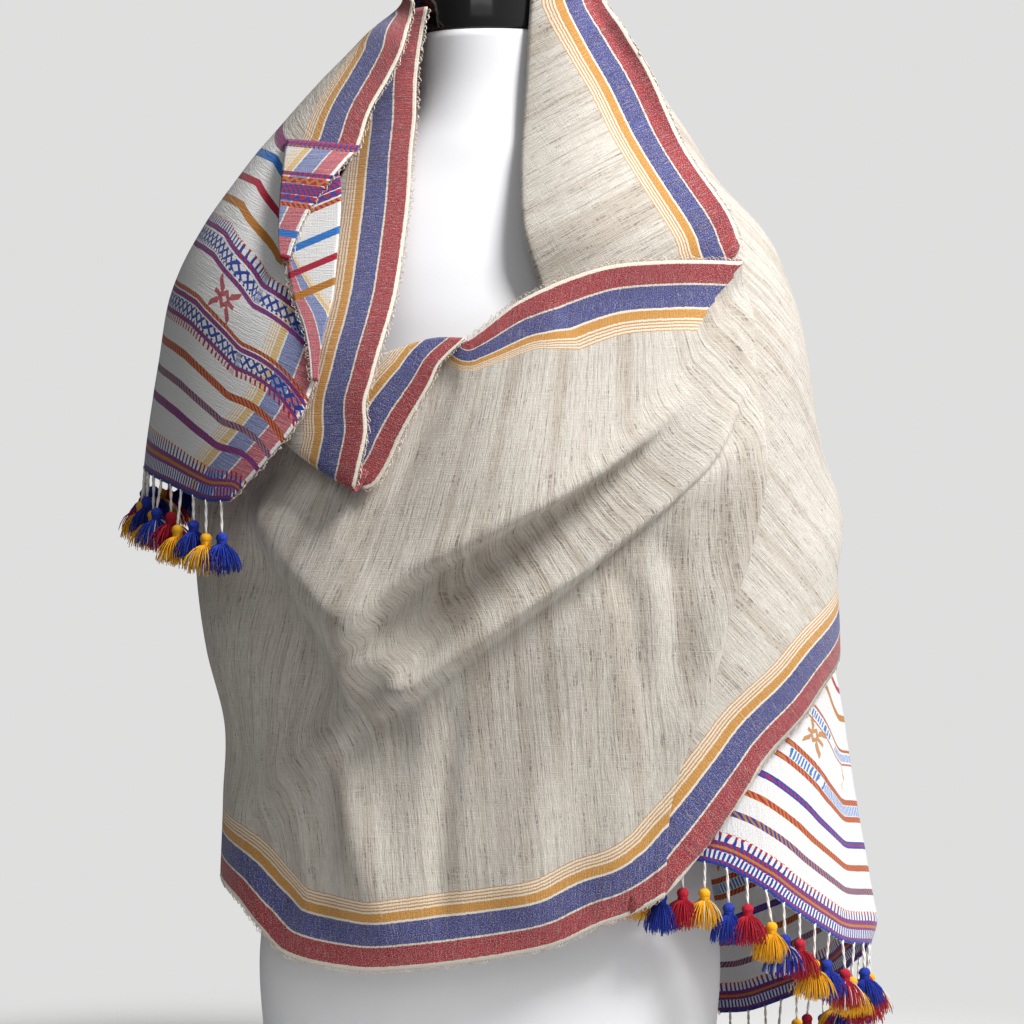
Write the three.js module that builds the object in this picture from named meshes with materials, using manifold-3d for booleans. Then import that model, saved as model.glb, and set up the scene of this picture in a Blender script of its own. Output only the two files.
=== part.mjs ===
// A handwoven stole wound about a limbless dress form.
// Millimetres. +Z is up, the front of the form looks along -Y, the origin is the middle of its flat base.
import * as THREE from "three";
import Module from "manifold-3d";

const clothThickness = 2.0;
const seamGap = 0.4;
const foldRadius = 3.6;
const bandFoldRadius = 4.3;
const foldTail = 12;
const roundness = 2.2;
const unrollRadius = 200;
const tasselsPerEnd = 31;
const tassel = {
  cordRadius: 1.1, headHigh: 9, headRadius: 4.3, waistRadius: 3.5, lockLong: 21, lockSpread: 2.6, hang: 1.0,
};
const stripHigh = 3.0;
const stripThick = 2.2;

// Half widths of the form: height, side, front, back.
const formRows = [
  [0, 160, 108, 112], [60, 169, 114, 119], [124, 172, 118, 122], [200, 160, 110, 112], [270, 139, 98, 98],
  [330, 122, 90, 90], [400, 128, 98, 89], [460, 141, 112, 93], [520, 150, 123, 98], [580, 157, 115, 99],
  [620, 164, 104, 94], [648, 162, 94, 87], [676, 140, 84, 80], [696, 112, 77, 75], [716, 84, 71, 72],
  [738, 65, 62, 65], [765, 56, 55, 57], [804, 52, 52, 53],
];
const capRows = [
  [804.6, 52, 52, 53], [812, 53, 53, 54], [850, 51, 51, 52], [872, 45, 45, 46], [882, 34, 34, 35], [886, 18, 18, 19],
];

// Reach of the first turn of cloth: height, front, right, back, left.
const firstTurn = [
  [30, 146, 286, 200, 205], [125, 148, 284, 190, 203], [181, 150, 276, 182, 201], [235, 150, 268, 174, 199],
  [290, 152, 262, 166, 198], [347, 157, 259, 160, 212], [405, 162, 254, 156, 220], [480, 165, 248, 152, 222],
  [560, 153, 238, 146, 216], [620, 137, 224, 134, 200], [660, 123, 208, 124, 172], [700, 108, 172, 112, 138],
  [740, 84, 130, 96, 112], [800, 64, 84, 78, 82], [850, 60, 64, 68, 64],
];
// Reach of the second turn, which lies outside the first.
const secondTurn = [
  [120, 150, 262, 186, 262], [290, 153, 262, 184, 262], [347, 160, 262, 182, 262], [405, 166, 260, 178, 262],
  [480, 167, 256, 173, 257], [560, 155, 247, 165, 243], [620, 139, 234, 155, 233], [662, 124, 217, 143, 212],
  [697, 110, 180, 127, 187], [728, 96, 156, 108, 163], [772, 76, 121, 89, 124], [800, 67, 92, 81, 96],
  [830, 62, 68, 75, 68], [870, 60, 62, 67, 60],
];

const radians = (degrees) => degrees * Math.PI / 180;
const clamp = (value, low, high) => Math.min(high, Math.max(low, value));
const smooth = (value) => {
  const t = clamp(value, 0, 1);
  return t * t * (3 - 2 * t);
};

// One row of a table at a height between its rows.
function rowAt(table, height) {
  const last = table.length - 1;
  const z = clamp(height, table[0][0], table[last][0]);
  let k = 0;
  while (k < last - 1 && table[k + 1][0] < z) k += 1;
  const step = table[k + 1][0] - table[k][0];
  const t = (z - table[k][0]) / step;
  const slope = (i, c) => {
    const a = Math.max(i - 1, 0);
    const b = Math.min(i + 1, last);
    return (table[b][c] - table[a][c]) / (table[b][0] - table[a][0]);
  };
  return table[k].map((unused, c) => {
    const from = table[k][c];
    const to = table[k + 1][c];
    const t2 = t * t;
    const t3 = t2 * t;
    return from * (2 * t3 - 3 * t2 + 1) + to * (3 * t2 - 2 * t3)
      + slope(k, c) * step * (t3 - 2 * t2 + t) + slope(k + 1, c) * step * (t3 - t2);
  });
}

// Reach of a turn at an angle from the front (+ toward +X) and a height.
function reachAt(turns, angle, height) {
  const [, front, right, back, left] = rowAt(turns, height);
  const across = Math.abs(Math.sin(angle)) / (Math.sin(angle) >= 0 ? right : left);
  const along = Math.abs(Math.cos(angle)) / (Math.cos(angle) >= 0 ? front : back);
  return (across ** roundness + along ** roundness) ** (-1 / roundness);
}

// Edge rows seen from the front: x, z, lift off the turn.
function seen(turns, rows) {
  return rows.map(([x, z, lift = 0]) => {
    let low = -Math.PI / 2;
    let high = Math.PI / 2;
    for (let i = 0; i < 40; i += 1) {
      const middle = (low + high) / 2;
      if ((reachAt(turns, middle, z) + lift) * Math.sin(middle) < x) low = middle;
      else high = middle;
    }
    return [(low + high) / 2, z, lift];
  });
}

// Edge rows at a known depth: x, z, y.
function placed(turns, rows) {
  return rows.map(([x, z, y]) => {
    const angle = Math.atan2(x, -y);
    return [angle, z, Math.hypot(x, y) - reachAt(turns, angle, z)];
  });
}

// Edge rows round the sides and back: degrees, z, lift.
const round = (rows) => rows.map(([degrees, z, lift]) => [radians(degrees), z, lift ?? 0]);

// A point a share of the way along an edge.
function alongEdge(edge, share) {
  const lengths = [0];
  for (let i = 1; i < edge.length; i += 1) {
    const across = (edge[i][0] - edge[i - 1][0]) * unrollRadius;
    lengths.push(lengths[i - 1] + Math.hypot(across, edge[i][1] - edge[i - 1][1]));
  }
  const total = lengths[lengths.length - 1];
  const target = clamp(share, 0, 1) * total;
  let k = 0;
  while (k < edge.length - 2 && lengths[k + 1] < target) k += 1;
  const t = (target - lengths[k]) / (lengths[k + 1] - lengths[k]);
  const slope = (i, c) => {
    const a = Math.max(i - 1, 0);
    const b = Math.min(i + 1, edge.length - 1);
    return (edge[b][c] - edge[a][c]) / (lengths[b] - lengths[a]);
  };
  const step = lengths[k + 1] - lengths[k];
  const t2 = t * t;
  const t3 = t2 * t;
  return [0, 1, 2].map((c) => edge[k][c] * (2 * t3 - 3 * t2 + 1) + edge[k + 1][c] * (3 * t2 - 2 * t3)
    + slope(k, c) * step * (t3 - 2 * t2 + t) + slope(k + 1, c) * step * (t3 - t2));
}

// Height of a fold over the cloth beside it; above and below are its widths on each side of its line.
function foldHeight(fold, angle, z) {
  const px = angle * unrollRadius;
  let best = Infinity;
  let side = 1;
  let along = 0;
  const line = fold.line;
  const lengths = [0];
  for (let i = 1; i < line.length; i += 1) {
    lengths.push(lengths[i - 1] + Math.hypot((line[i][0] - line[i - 1][0]) * unrollRadius,
      line[i][1] - line[i - 1][1]));
  }
  for (let i = 1; i < line.length; i += 1) {
    const ax = line[i - 1][0] * unrollRadius;
    const az = line[i - 1][1];
    const dx = line[i][0] * unrollRadius - ax;
    const dz = line[i][1] - az;
    const span = dx * dx + dz * dz;
    const t = clamp(((px - ax) * dx + (z - az) * dz) / span, 0, 1);
    const gap = Math.hypot(px - ax - t * dx, z - az - t * dz);
    if (gap < best) {
      best = gap;
      side = dx * (z - az) - dz * (px - ax) >= 0 ? 1 : -1;
      along = lengths[i - 1] + t * Math.sqrt(span);
    }
  }
  const share = along / lengths[lengths.length - 1];
  const fade = smooth(share / fold.fadeIn) * smooth((1 - share) / fold.fadeOut);
  const width = side > 0 ? fold.above : fold.below;
  return fold.height * fade * Math.exp(-((best / width) ** 2));
}

// The middle surface of a stretch of cloth, between its four edges.
function stretch({ turns, bottom, top, left, right, across, up, folds = [] }) {
  const corners = [bottom[0], bottom[bottom.length - 1], top[0], top[top.length - 1]];
  const grid = [];
  for (let j = 0; j <= up; j += 1) {
    const v = j / up;
    const row = [];
    for (let i = 0; i <= across; i += 1) {
      const u = i / across;
      const b = alongEdge(bottom, u);
      const t = alongEdge(top, u);
      const l = alongEdge(left, v);
      const r = alongEdge(right, v);
      const [angle, z, lift] = [0, 1, 2].map((c) => (1 - v) * b[c] + v * t[c] + (1 - u) * l[c] + u * r[c]
        - (1 - u) * (1 - v) * corners[0][c] - u * (1 - v) * corners[1][c]
        - (1 - u) * v * corners[2][c] - u * v * corners[3][c]);
      let reach = reachAt(turns, angle, z) + lift;
      for (const fold of folds) reach += foldHeight(fold, angle, z);
      row.push(new THREE.Vector3(reach * Math.sin(angle), -reach * Math.cos(angle), z));
    }
    grid.push(row);
  }
  return grid;
}

const turned = (grid) => grid[0].map((unused, i) => grid.map((row) => row[i]));
const mirrored = (grid) => grid.map((row) => [...row].reverse());

// Turns the last column of a grid under (or out, for a negative radius) into a round fold.
function foldLast(grid, radius, tail) {
  const steps = 4;
  return grid.map((row, j) => {
    const edge = row[row.length - 1];
    const before = row[row.length - 2];
    const next = grid[Math.min(j + 1, grid.length - 1)];
    const previous = grid[Math.max(j - 1, 0)];
    const alongIt = next[next.length - 1].clone().sub(previous[previous.length - 1]).normalize();
    const outward = edge.clone().sub(before);
    outward.addScaledVector(alongIt, -outward.dot(alongIt)).normalize();
    const inward = new THREE.Vector3().crossVectors(outward, alongIt);
    if (inward.x * edge.x + inward.y * edge.y > 0) inward.negate();
    const extra = [];
    for (let k = 1; k <= steps; k += 1) {
      const angle = Math.PI * k / steps;
      extra.push(edge.clone().addScaledVector(outward, Math.abs(radius) * Math.sin(angle))
        .addScaledVector(inward, radius * (1 - Math.cos(angle))));
    }
    extra.push(extra[steps - 1].clone().addScaledVector(outward, -tail));
    return [...row, ...extra];
  });
}
const foldRight = (grid, radius = foldRadius, tail = foldTail) => foldLast(grid, radius, tail);
const foldLeft = (grid, radius = foldRadius, tail = foldTail) => mirrored(foldLast(mirrored(grid), radius, tail));
const foldBottom = (grid, radius = foldRadius, tail = foldTail) => {
  const columns = mirrored(turned(grid));
  return turned(mirrored(foldLast(columns, radius, tail)));
};
const foldTop = (grid, radius = foldRadius, tail = foldTail) => turned(foldLast(turned(grid), radius, tail));

function meshOf(name, positions, indices, material) {
  const geometry = new THREE.BufferGeometry();
  geometry.setAttribute("position", new THREE.Float32BufferAttribute(positions, 3));
  geometry.setIndex(indices);
  geometry.computeVertexNormals();
  const mesh = new THREE.Mesh(geometry, material);
  mesh.name = name;
  return mesh;
}

// Volume inside a closed surface, to know which way it faces.
function volumeOf(positions, indices) {
  const point = (i) => new THREE.Vector3(positions[3 * i], positions[3 * i + 1], positions[3 * i + 2]);
  let volume = 0;
  for (let k = 0; k < indices.length; k += 3) {
    volume += point(indices[k]).dot(point(indices[k + 1]).cross(point(indices[k + 2]))) / 6;
  }
  return volume;
}

// A closed wall of cloth on a middle surface.
function wall(name, grid, material, thickness = clothThickness) {
  const rows = grid.length;
  const columns = grid[0].length;
  const sides = [[], []];
  for (let j = 0; j < rows; j += 1) {
    for (let i = 0; i < columns; i += 1) {
      const alongU = grid[j][Math.min(i + 1, columns - 1)].clone().sub(grid[j][Math.max(i - 1, 0)]);
      const alongV = grid[Math.min(j + 1, rows - 1)][i].clone().sub(grid[Math.max(j - 1, 0)][i]);
      const normal = alongU.cross(alongV).normalize();
      for (const [side, list] of sides.entries()) {
        list.push(grid[j][i].clone().addScaledVector(normal, (side ? -0.5 : 0.5) * thickness));
      }
    }
  }
  const positions = [...sides[0], ...sides[1]].flatMap((p) => [p.x, p.y, p.z]);
  const count = rows * columns;
  const at = (j, i, side) => side * count + j * columns + i;
  const indices = [];
  const quad = (a, b, c, d) => indices.push(a, b, c, a, c, d);
  for (let j = 0; j < rows - 1; j += 1) {
    for (let i = 0; i < columns - 1; i += 1) {
      quad(at(j, i, 0), at(j, i + 1, 0), at(j + 1, i + 1, 0), at(j + 1, i, 0));
      quad(at(j, i, 1), at(j + 1, i, 1), at(j + 1, i + 1, 1), at(j, i + 1, 1));
    }
  }
  for (let i = 0; i < columns - 1; i += 1) {
    quad(at(0, i, 1), at(0, i + 1, 1), at(0, i + 1, 0), at(0, i, 0));
    quad(at(rows - 1, i, 0), at(rows - 1, i + 1, 0), at(rows - 1, i + 1, 1), at(rows - 1, i, 1));
  }
  for (let j = 0; j < rows - 1; j += 1) {
    quad(at(j, 0, 0), at(j + 1, 0, 0), at(j + 1, 0, 1), at(j, 0, 1));
    quad(at(j, columns - 1, 1), at(j + 1, columns - 1, 1), at(j + 1, columns - 1, 0), at(j, columns - 1, 0));
  }
  if (volumeOf(positions, indices) < 0) indices.reverse();
  return meshOf(name, positions, indices, material);
}

// A closed round solid through rows of height, side, front, back.
function roundSolid(name, rows, levels, around, material) {
  const positions = [];
  const indices = [];
  const [bottom, top] = [rows[0][0], rows[rows.length - 1][0]];
  const heights = levels ?? rows.map((row) => row[0]);
  for (const z of heights) {
    const [, side, front, back] = rowAt(rows, clamp(z, bottom, top));
    for (let i = 0; i < around; i += 1) {
      const angle = 2 * Math.PI * i / around;
      const reach = ((Math.abs(Math.sin(angle)) / side) ** roundness
        + (Math.abs(Math.cos(angle)) / (Math.cos(angle) > 0 ? front : back)) ** roundness) ** (-1 / roundness);
      positions.push(reach * Math.sin(angle), -reach * Math.cos(angle), z);
    }
  }
  for (let k = 0; k < heights.length - 1; k += 1) {
    for (let i = 0; i < around; i += 1) {
      const a = k * around + i;
      const b = k * around + (i + 1) % around;
      indices.push(a, b, b + around, a, b + around, a + around);
    }
  }
  const low = positions.length / 3;
  positions.push(0, 0, heights[0], 0, 0, heights[heights.length - 1]);
  const lastRing = (heights.length - 1) * around;
  for (let i = 0; i < around; i += 1) {
    const next = (i + 1) % around;
    indices.push(low, next, i, low + 1, lastRing + i, lastRing + next);
  }
  if (volumeOf(positions, indices) < 0) indices.reverse();
  return meshOf(name, positions, indices, material);
}

const cream = new THREE.MeshStandardMaterial({ name: "cloth_body", color: 0xc9bda8, roughness: 0.9 });
const white = new THREE.MeshStandardMaterial({ name: "cloth_end", color: 0xe6e4e2, roughness: 0.9 });
const yarn = new THREE.MeshStandardMaterial({ name: "tassel_yarn", color: 0x1b3a90, roughness: 0.85 });
const padding = new THREE.MeshStandardMaterial({ name: "form_shell", color: 0xe6e6ea, roughness: 0.6 });
const gloss = new THREE.MeshStandardMaterial({ name: "form_cap", color: 0x0a0a0c, roughness: 0.12 });

const wasm = await Module();
wasm.setup();

// A closed mesh as a solid that can be joined.
function solidOf(positions, indices) {
  const flipped = volumeOf(positions, indices) < 0 ? [...indices].reverse() : indices;
  const mesh = new wasm.Mesh({
    numProp: 3, vertProperties: new Float32Array(positions), triVerts: new Uint32Array(flipped),
  });
  return new wasm.Manifold(mesh);
}

// One tassel hanging from a point: a three-sided cord, a bound head, three locks that part below it.
function hangTassel(point, cordLong, spin) {
  const positions = [];
  const indices = [];
  const ring = (count, radius, z) => {
    const first = positions.length / 3;
    for (let i = 0; i < count; i += 1) {
      const angle = spin + 2 * Math.PI * i / count;
      positions.push(point.x + radius * Math.cos(angle), point.y + radius * Math.sin(angle), z);
    }
    return first;
  };
  const neck = point.z - cordLong;
  const root = ring(3, tassel.cordRadius, point.z);
  const knot = ring(3, tassel.cordRadius, neck);
  const head = ring(6, tassel.headRadius, neck - 0.4 * tassel.headHigh);
  const waist = ring(6, tassel.waistRadius, neck - tassel.headHigh);
  indices.push(root, root + 1, root + 2);
  for (let i = 0; i < 3; i += 1) {
    const j = (i + 1) % 3;
    indices.push(root + i, knot + i, knot + j, root + i, knot + j, root + j);
    const [a, b, c] = [head + 2 * i, head + 2 * i + 1, head + (2 * i + 2) % 6];
    indices.push(knot + i, a, b, knot + i, b, knot + j, knot + j, b, c);
  }
  for (let i = 0; i < 6; i += 1) {
    const j = (i + 1) % 6;
    indices.push(head + i, waist + i, waist + j, head + i, waist + j, head + j);
  }
  const middle = positions.length / 3;
  const waistZ = neck - tassel.headHigh;
  positions.push(point.x, point.y, waistZ);
  for (let i = 0; i < 6; i += 1) {
    const roots = [middle, waist + i, waist + (i + 1) % 6];
    if (i % 2) {
      indices.push(roots[0], roots[2], roots[1]);
      continue;
    }
    const angle = spin + 2 * Math.PI * (i + 0.5) / 6;
    const tips = roots.map((k) => {
      positions.push(positions[3 * k] + tassel.lockSpread * Math.cos(angle),
        positions[3 * k + 1] + tassel.lockSpread * Math.sin(angle), waistZ - tassel.lockLong);
      return positions.length / 3 - 1;
    });
    indices.push(tips[0], tips[2], tips[1]);
    for (let k = 0; k < 3; k += 1) {
      const n = (k + 1) % 3;
      indices.push(roots[k], tips[k], tips[n], roots[k], tips[n], roots[n]);
    }
  }
  return solidOf(positions, indices);
}

// A narrow strip just under an edge of cloth, through the points of that edge.
function stripUnder(points) {
  const positions = [];
  const indices = [];
  points.forEach((p, k) => {
    const ahead = points[Math.min(k + 1, points.length - 1)];
    const behind = points[Math.max(k - 1, 0)];
    const across = new THREE.Vector3(behind.y - ahead.y, ahead.x - behind.x, 0).normalize();
    for (const [side, drop] of [[-1, 0], [1, 0], [1, stripHigh], [-1, stripHigh]]) {
      positions.push(p.x + side * across.x * stripThick / 2, p.y + side * across.y * stripThick / 2, p.z - drop);
    }
  });
  const last = 4 * (points.length - 1);
  indices.push(0, 2, 1, 0, 3, 2, last, last + 1, last + 2, last, last + 2, last + 3);
  for (let k = 0; k < points.length - 1; k += 1) {
    for (let i = 0; i < 4; i += 1) {
      const a = 4 * k + i;
      const b = 4 * k + (i + 1) % 4;
      indices.push(a, b, b + 4, a, b + 4, a + 4);
    }
  }
  return solidOf(positions, indices);
}

// The tassels of one end, on three strips under its last row.
function tasselStrips(name, edge) {
  const lengths = [0];
  for (let i = 1; i < edge.length; i += 1) lengths.push(lengths[i - 1] + edge[i].distanceTo(edge[i - 1]));
  const total = lengths[lengths.length - 1];
  const pointAt = (distance) => {
    let k = 0;
    while (k < edge.length - 2 && lengths[k + 1] < distance) k += 1;
    const t = (distance - lengths[k]) / (lengths[k + 1] - lengths[k]);
    const point = edge[k].clone().lerp(edge[k + 1], t);
    point.z -= seamGap + 0.6;
    return point;
  };
  const counts = [10, 11, 10];
  const spacing = total / tasselsPerEnd;
  let done = 0;
  counts.forEach((count, part) => {
    const from = done * spacing + (part ? seamGap : 0.8);
    const to = (done + count) * spacing - (part < 2 ? seamGap : 0.8);
    const points = [pointAt(from)];
    edge.forEach((unused, i) => {
      if (lengths[i] > from + 3 && lengths[i] < to - 3) points.push(pointAt(lengths[i]));
    });
    points.push(pointAt(to));
    const solids = [stripUnder(points)];
    for (let k = done; k < done + count; k += 1) {
      const root = pointAt((k + 0.5) * spacing);
      root.z -= stripHigh / 2;
      const cordLong = Math.min(19 + 4 * Math.sin(2.4 * k), root.z - tassel.headHigh - tassel.lockLong - 7);
      solids.push(hangTassel(root, cordLong, 1.3 * k));
    }
    done += count;
    const mesh = wasm.Manifold.union(solids).getMesh();
    group.add(meshOf(name + "_" + (part + 1), Array.from(mesh.vertProperties), Array.from(mesh.triVerts), yarn));
  });
}

const group = new THREE.Group();
group.name = "draped_stole";

// The dress form.
const formLevels = [0, 60, 124, 200, 270, 330, 400, 460, 520, 580, 620, 648, 676, 696, 716, 738, 765, 804];
group.add(roundSolid("form_torso", formRows, formLevels, 24, padding));
group.add(roundSolid("form_neck_cap", capRows, null, 18, gloss));

// First turn: from the left side across the front to the right fold.
const panelTop = [
  ...round([[-108, 590, 0]]),
  ...seen(firstTurn, [
    [-190, 578, -4], [-165, 564, -8], [-130, 556, -10], [-100, 553, -10],
  ]),
  ...placed(firstTurn, [
    [-78, 556, -144], [-63, 561, -147], [-39, 568, -150], [-20, 567, -155], [22, 598, -150], [79, 622, -138],
    [130, 628, -126], [182, 629, -103],
  ]),
];
const panelBottom = [
  ...round([[-108, 190, 0]]),
  ...seen(firstTurn, [
    [-199, 178, 0], [-184, 167, 0], [-168, 149, 0], [-146, 131, 0], [-95, 123, 0], [-58, 125, 0], [-17, 130, 0],
    [15, 135, 0], [50, 143, 0], [79, 156, 0], [100, 163, 0], [124, 175, 4],
  ]),
];
const panelRight = [
  ...seen(firstTurn, [
    [124, 175, 4], [126, 222, 6], [130, 251, 8], [138, 290, 8], [151, 327, 9], [164, 381, 10], [176, 414, 10],
    [184, 454, 10], [188, 501, 10], [190, 568, 9], [188, 604, 9],
  ]),
  ...placed(firstTurn, [[182, 629, -103]]),
];
const panelLeft = round([[-108, 190, 0], [-108, 300, 0], [-108, 450, 0], [-108, 590, 0]]);
const panelFolds = [
  { height: 20, above: 50, below: 20, fadeIn: 0.1, fadeOut: 0.5, line: seen(firstTurn, [
    [-104, 340], [-88, 362], [-70, 388], [-50, 406], [-19, 423], [22, 448], [71, 477], [104, 499], [150, 540]]) },
  { height: -12, above: 16, below: 20, fadeIn: 0.15, fadeOut: 0.3, line: seen(firstTurn, [
    [-72, 326], [-50, 350], [-19, 383], [22, 414], [60, 440], [107, 478], [150, 530]]) },
  { height: 15, above: 20, below: 46, fadeIn: 0.1, fadeOut: 0.45, line: seen(firstTurn, [
    [-83, 310], [-50, 328], [-19, 352], [22, 385], [53, 408], [107, 455], [143, 492], [175, 535]]) },
  { height: 20, above: 44, below: 20, fadeIn: 0.25, fadeOut: 0.12, line: seen(firstTurn, [
    [-170, 470], [-150, 430], [-130, 396], [-108, 362], [-94, 338], [-84, 318]]) },
  { height: -10, above: 24, below: 26, fadeIn: 0.3, fadeOut: 0.3, line: seen(firstTurn, [
    [-192, 440], [-170, 405], [-148, 368], [-128, 332], [-112, 306], [-98, 288]]) },
  { height: 9, above: 22, below: 22, fadeIn: 0.3, fadeOut: 0.3, line: seen(firstTurn, [
    [-136, 306], [-120, 284], [-98, 236], [-80, 180], [-66, 126]]) },
  { height: -7, above: 20, below: 24, fadeIn: 0.3, fadeOut: 0.2, line: seen(firstTurn, [
    [-194, 300], [-180, 258], [-164, 215], [-150, 180], [-140, 135]]) },
  { height: 7, above: 30, below: 30, fadeIn: 0.35, fadeOut: 0.15, line: seen(firstTurn, [
    [120, 430], [70, 350], [35, 250], [20, 136]]) },
  { height: 6, above: 24, below: 24, fadeIn: 0.35, fadeOut: 0.15, line: seen(firstTurn, [
    [150, 470], [120, 370], [94, 270], [84, 160]]) },
];
group.add(wall("front_panel", foldRight(stretch({
  turns: firstTurn, bottom: panelBottom, top: panelTop, left: panelLeft, right: panelRight,
  across: 28, up: 26, folds: panelFolds,
})), cream));

// The top of the panel, turned out over itself below the neck.
const cowlTop = placed(firstTurn, [
  [-97, 552, -147], [-78, 559.4, -146.5], [-63, 564.4, -149.2], [-39, 571.2, -152], [-16, 571, -158.8],
]);
const cowlBottom = placed(firstTurn, [[-97, 470, -161], [-88, 464, -166]]);
const cowlRight = placed(firstTurn, [
  [-88, 464, -166], [-80, 467, -169], [-70, 482, -169], [-63, 498, -168], [-54, 515, -167], [-41, 538, -165],
  [-34, 553, -163.5], [-16, 571, -158.8],
]);
const cowlLeft = placed(firstTurn, [[-97, 470, -161], [-98, 500, -157], [-98, 530, -152], [-97, 552, -147]]);
group.add(wall("cowl_turnback", stretch({
  turns: firstTurn, bottom: cowlBottom, top: cowlTop, left: cowlLeft, right: cowlRight, across: 5, up: 8,
}), cream));

// The cloth beside the neck on the left.
const bandRight = placed(firstTurn, [
  [-93, 467, -177], [-90, 480, -177], [-85, 505, -174.2], [-86, 525, -169.4], [-82, 540, -165.5], [-78, 556, -160],
  [-70, 585, -146], [-65, 608, -132], [-61, 640, -113], [-57, 687, -89], [-54, 735, -66], [-53, 773, -50],
  [-49, 805, -39], [-46, 822, -37],
]);
const bandLeft = placed(firstTurn, [
  [-168, 514, -116], [-168, 540, -108], [-160, 580, -96], [-146, 620, -84], [-126, 660, -72], [-106, 700, -60],
  [-88, 740, -50], [-72, 780, -42], [-60, 805, -34], [-55, 822, -28],
]);
const bandBottom = placed(firstTurn, [
  [-168, 514, -116], [-152, 508, -132], [-134, 493, -150], [-112, 478, -166], [-93, 467, -177],
]);
const bandTop = [bandLeft[bandLeft.length - 1], bandRight[bandRight.length - 1]];
group.add(wall("neck_band_left", foldBottom(stretch({
  turns: firstTurn, bottom: bandBottom, top: bandTop, left: bandLeft, right: bandRight, across: 5, up: 17,
}), bandFoldRadius), cream));

// The turned-out lapel on the right of the neck.
const lapelLeft = placed(secondTurn, [
  [44, 600, -128], [37, 620, -125], [29, 647, -120], [26, 674, -106], [26, 710, -86], [28, 740, -72],
  [30, 770, -62], [32, 805, -54], [36, 838, -50],
]);
const lapelRight = placed(secondTurn, [
  [162, 608, -100.3], [173, 627, -96.4], [181, 642, -93], [161, 684, -86], [140, 719, -70], [121, 765, -56],
  [100, 804, -44], [85, 828, -32],
]);
const lapelBottom = placed(secondTurn, [[44, 600, -128], [86, 604, -130], [130, 607, -117.2], [162, 608, -100.3]]);
const lapelTop = [
  ...placed(secondTurn, [[36, 838, -50]]),
  ...round([[52, 846, 4], [70, 846, 8]]),
  ...placed(secondTurn, [[85, 828, -32]]),
];
group.add(wall("lapel_right", foldLeft(stretch({
  turns: secondTurn, bottom: lapelBottom, top: lapelTop, left: lapelLeft, right: lapelRight, across: 7, up: 13,
})), cream));

// Second turn: from under the fold round the right side to the middle of the back.
const capeBottom = [
  ...seen(secondTurn, [
    [100, 165, -14], [122, 176, -13], [134, 187, -9], [146, 199, -5], [158, 213, -2], [184, 248, 0],
    [200, 272, 0], [227, 299, 0], [246, 323, 0],
  ]),
  ...round([[88, 347], [110, 388], [130, 430], [150, 480], [165, 530], [175, 566], [179.6, 576]]),
];
const capeLeft = seen(secondTurn, [
  [100, 165, -14], [100, 222, -15], [102, 290, -15], [118, 355, -15], [136, 424, -15], [142, 500, -15],
  [142, 560, -19], [130, 606, -22.5], [112, 650, -13], [94, 700, -6], [80, 740, -5], [68, 780, -4], [56, 815, -3],
  [50, 836, -3],
]);
const capeTop = [
  ...seen(secondTurn, [[50, 836, -3]]),
  ...round([[62, 848, -1], [80, 858, 0], [110, 864, 0], [145, 868, 0], [179.6, 868, 0]]),
];
const capeRight = round([[179.6, 576], [179.6, 640], [179.6, 760], [179.6, 868]]);
const capeFolds = [
  { height: 9, above: 26, below: 22, fadeIn: 0.2, fadeOut: 0.4, line: round([
    [72, 390], [100, 475], [135, 580], [162, 665]]) },
  { height: -7, above: 20, below: 20, fadeIn: 0.2, fadeOut: 0.4, line: round([
    [84, 375], [115, 455], [145, 540], [164, 600]]) },
  { height: 8, above: 22, below: 20, fadeIn: 0.3, fadeOut: 0.4, line: round([
    [95, 640], [125, 695], [150, 740], [164, 760]]) },
];
group.add(wall("cape_outer", stretch({
  turns: secondTurn, bottom: capeBottom, top: capeTop, left: capeLeft, right: capeRight,
  across: 24, up: 16, folds: capeFolds,
}), cream));

// The left end, over the left shoulder.
const endLeftTop = [
  ...round([[-179.6, 868], [-145, 866], [-110, 858], [-86, 846, 1]]),
  ...placed(secondTurn, [[-57, 828, -35]]),
];
const endLeftLine = [
  ...round([[-169, 524], [-160, 522], [-140, 511], [-120, 498], [-100, 488], [-86, 482, 1]]),
  ...seen(secondTurn, [[-236, 470, 3], [-215, 461, 6], [-201, 456, 9], [-184, 456, 12]]),
];
const endLeftEdge = [
  ...seen(secondTurn, [
    [-184, 456, 12], [-163, 478, 13], [-136, 510, 14], [-124, 537, 14], [-122, 558, 13], [-118, 581, 11],
    [-113, 602, 8], [-110, 645, 6], [-109, 674, 5], [-108, 694, 4], [-95, 712, 2], [-86, 742, 1], [-73, 767],
    [-63, 791],
  ]),
  ...placed(secondTurn, [[-59, 810, -42], [-57, 828, -35]]),
];
const endLeftBack = round([[-169, 524], [-171, 550], [-175, 568], [-179.6, 576], [-179.6, 680], [-179.6, 868]]);
const endLeftFolds = [
  { height: -8, above: 14, below: 14, fadeIn: 0.3, fadeOut: 0.3, line: seen(secondTurn, [
    [-150, 722], [-153, 690], [-156, 650], [-158, 600]]) },
  { height: 9, above: 22, below: 22, fadeIn: 0.25, fadeOut: 0.15, line: round([
    [-150, 780], [-146, 690], [-140, 600], [-138, 510]]) },
  { height: -8, above: 18, below: 18, fadeIn: 0.25, fadeOut: 0.15, line: round([
    [-128, 770], [-122, 690], [-118, 600], [-116, 496]]) },
  { height: 7, above: 16, below: 16, fadeIn: 0.25, fadeOut: 0.2, line: round([
    [-166, 770], [-163, 690], [-160, 600], [-158, 520]]) },
];
const endLeft = stretch({
  turns: secondTurn, bottom: endLeftLine, top: endLeftTop, left: endLeftBack, right: endLeftEdge,
  across: 26, up: 15, folds: endLeftFolds,
});
group.add(wall("end_left", endLeft, white));
tasselStrips("tassels_left", endLeft[0]);

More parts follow.
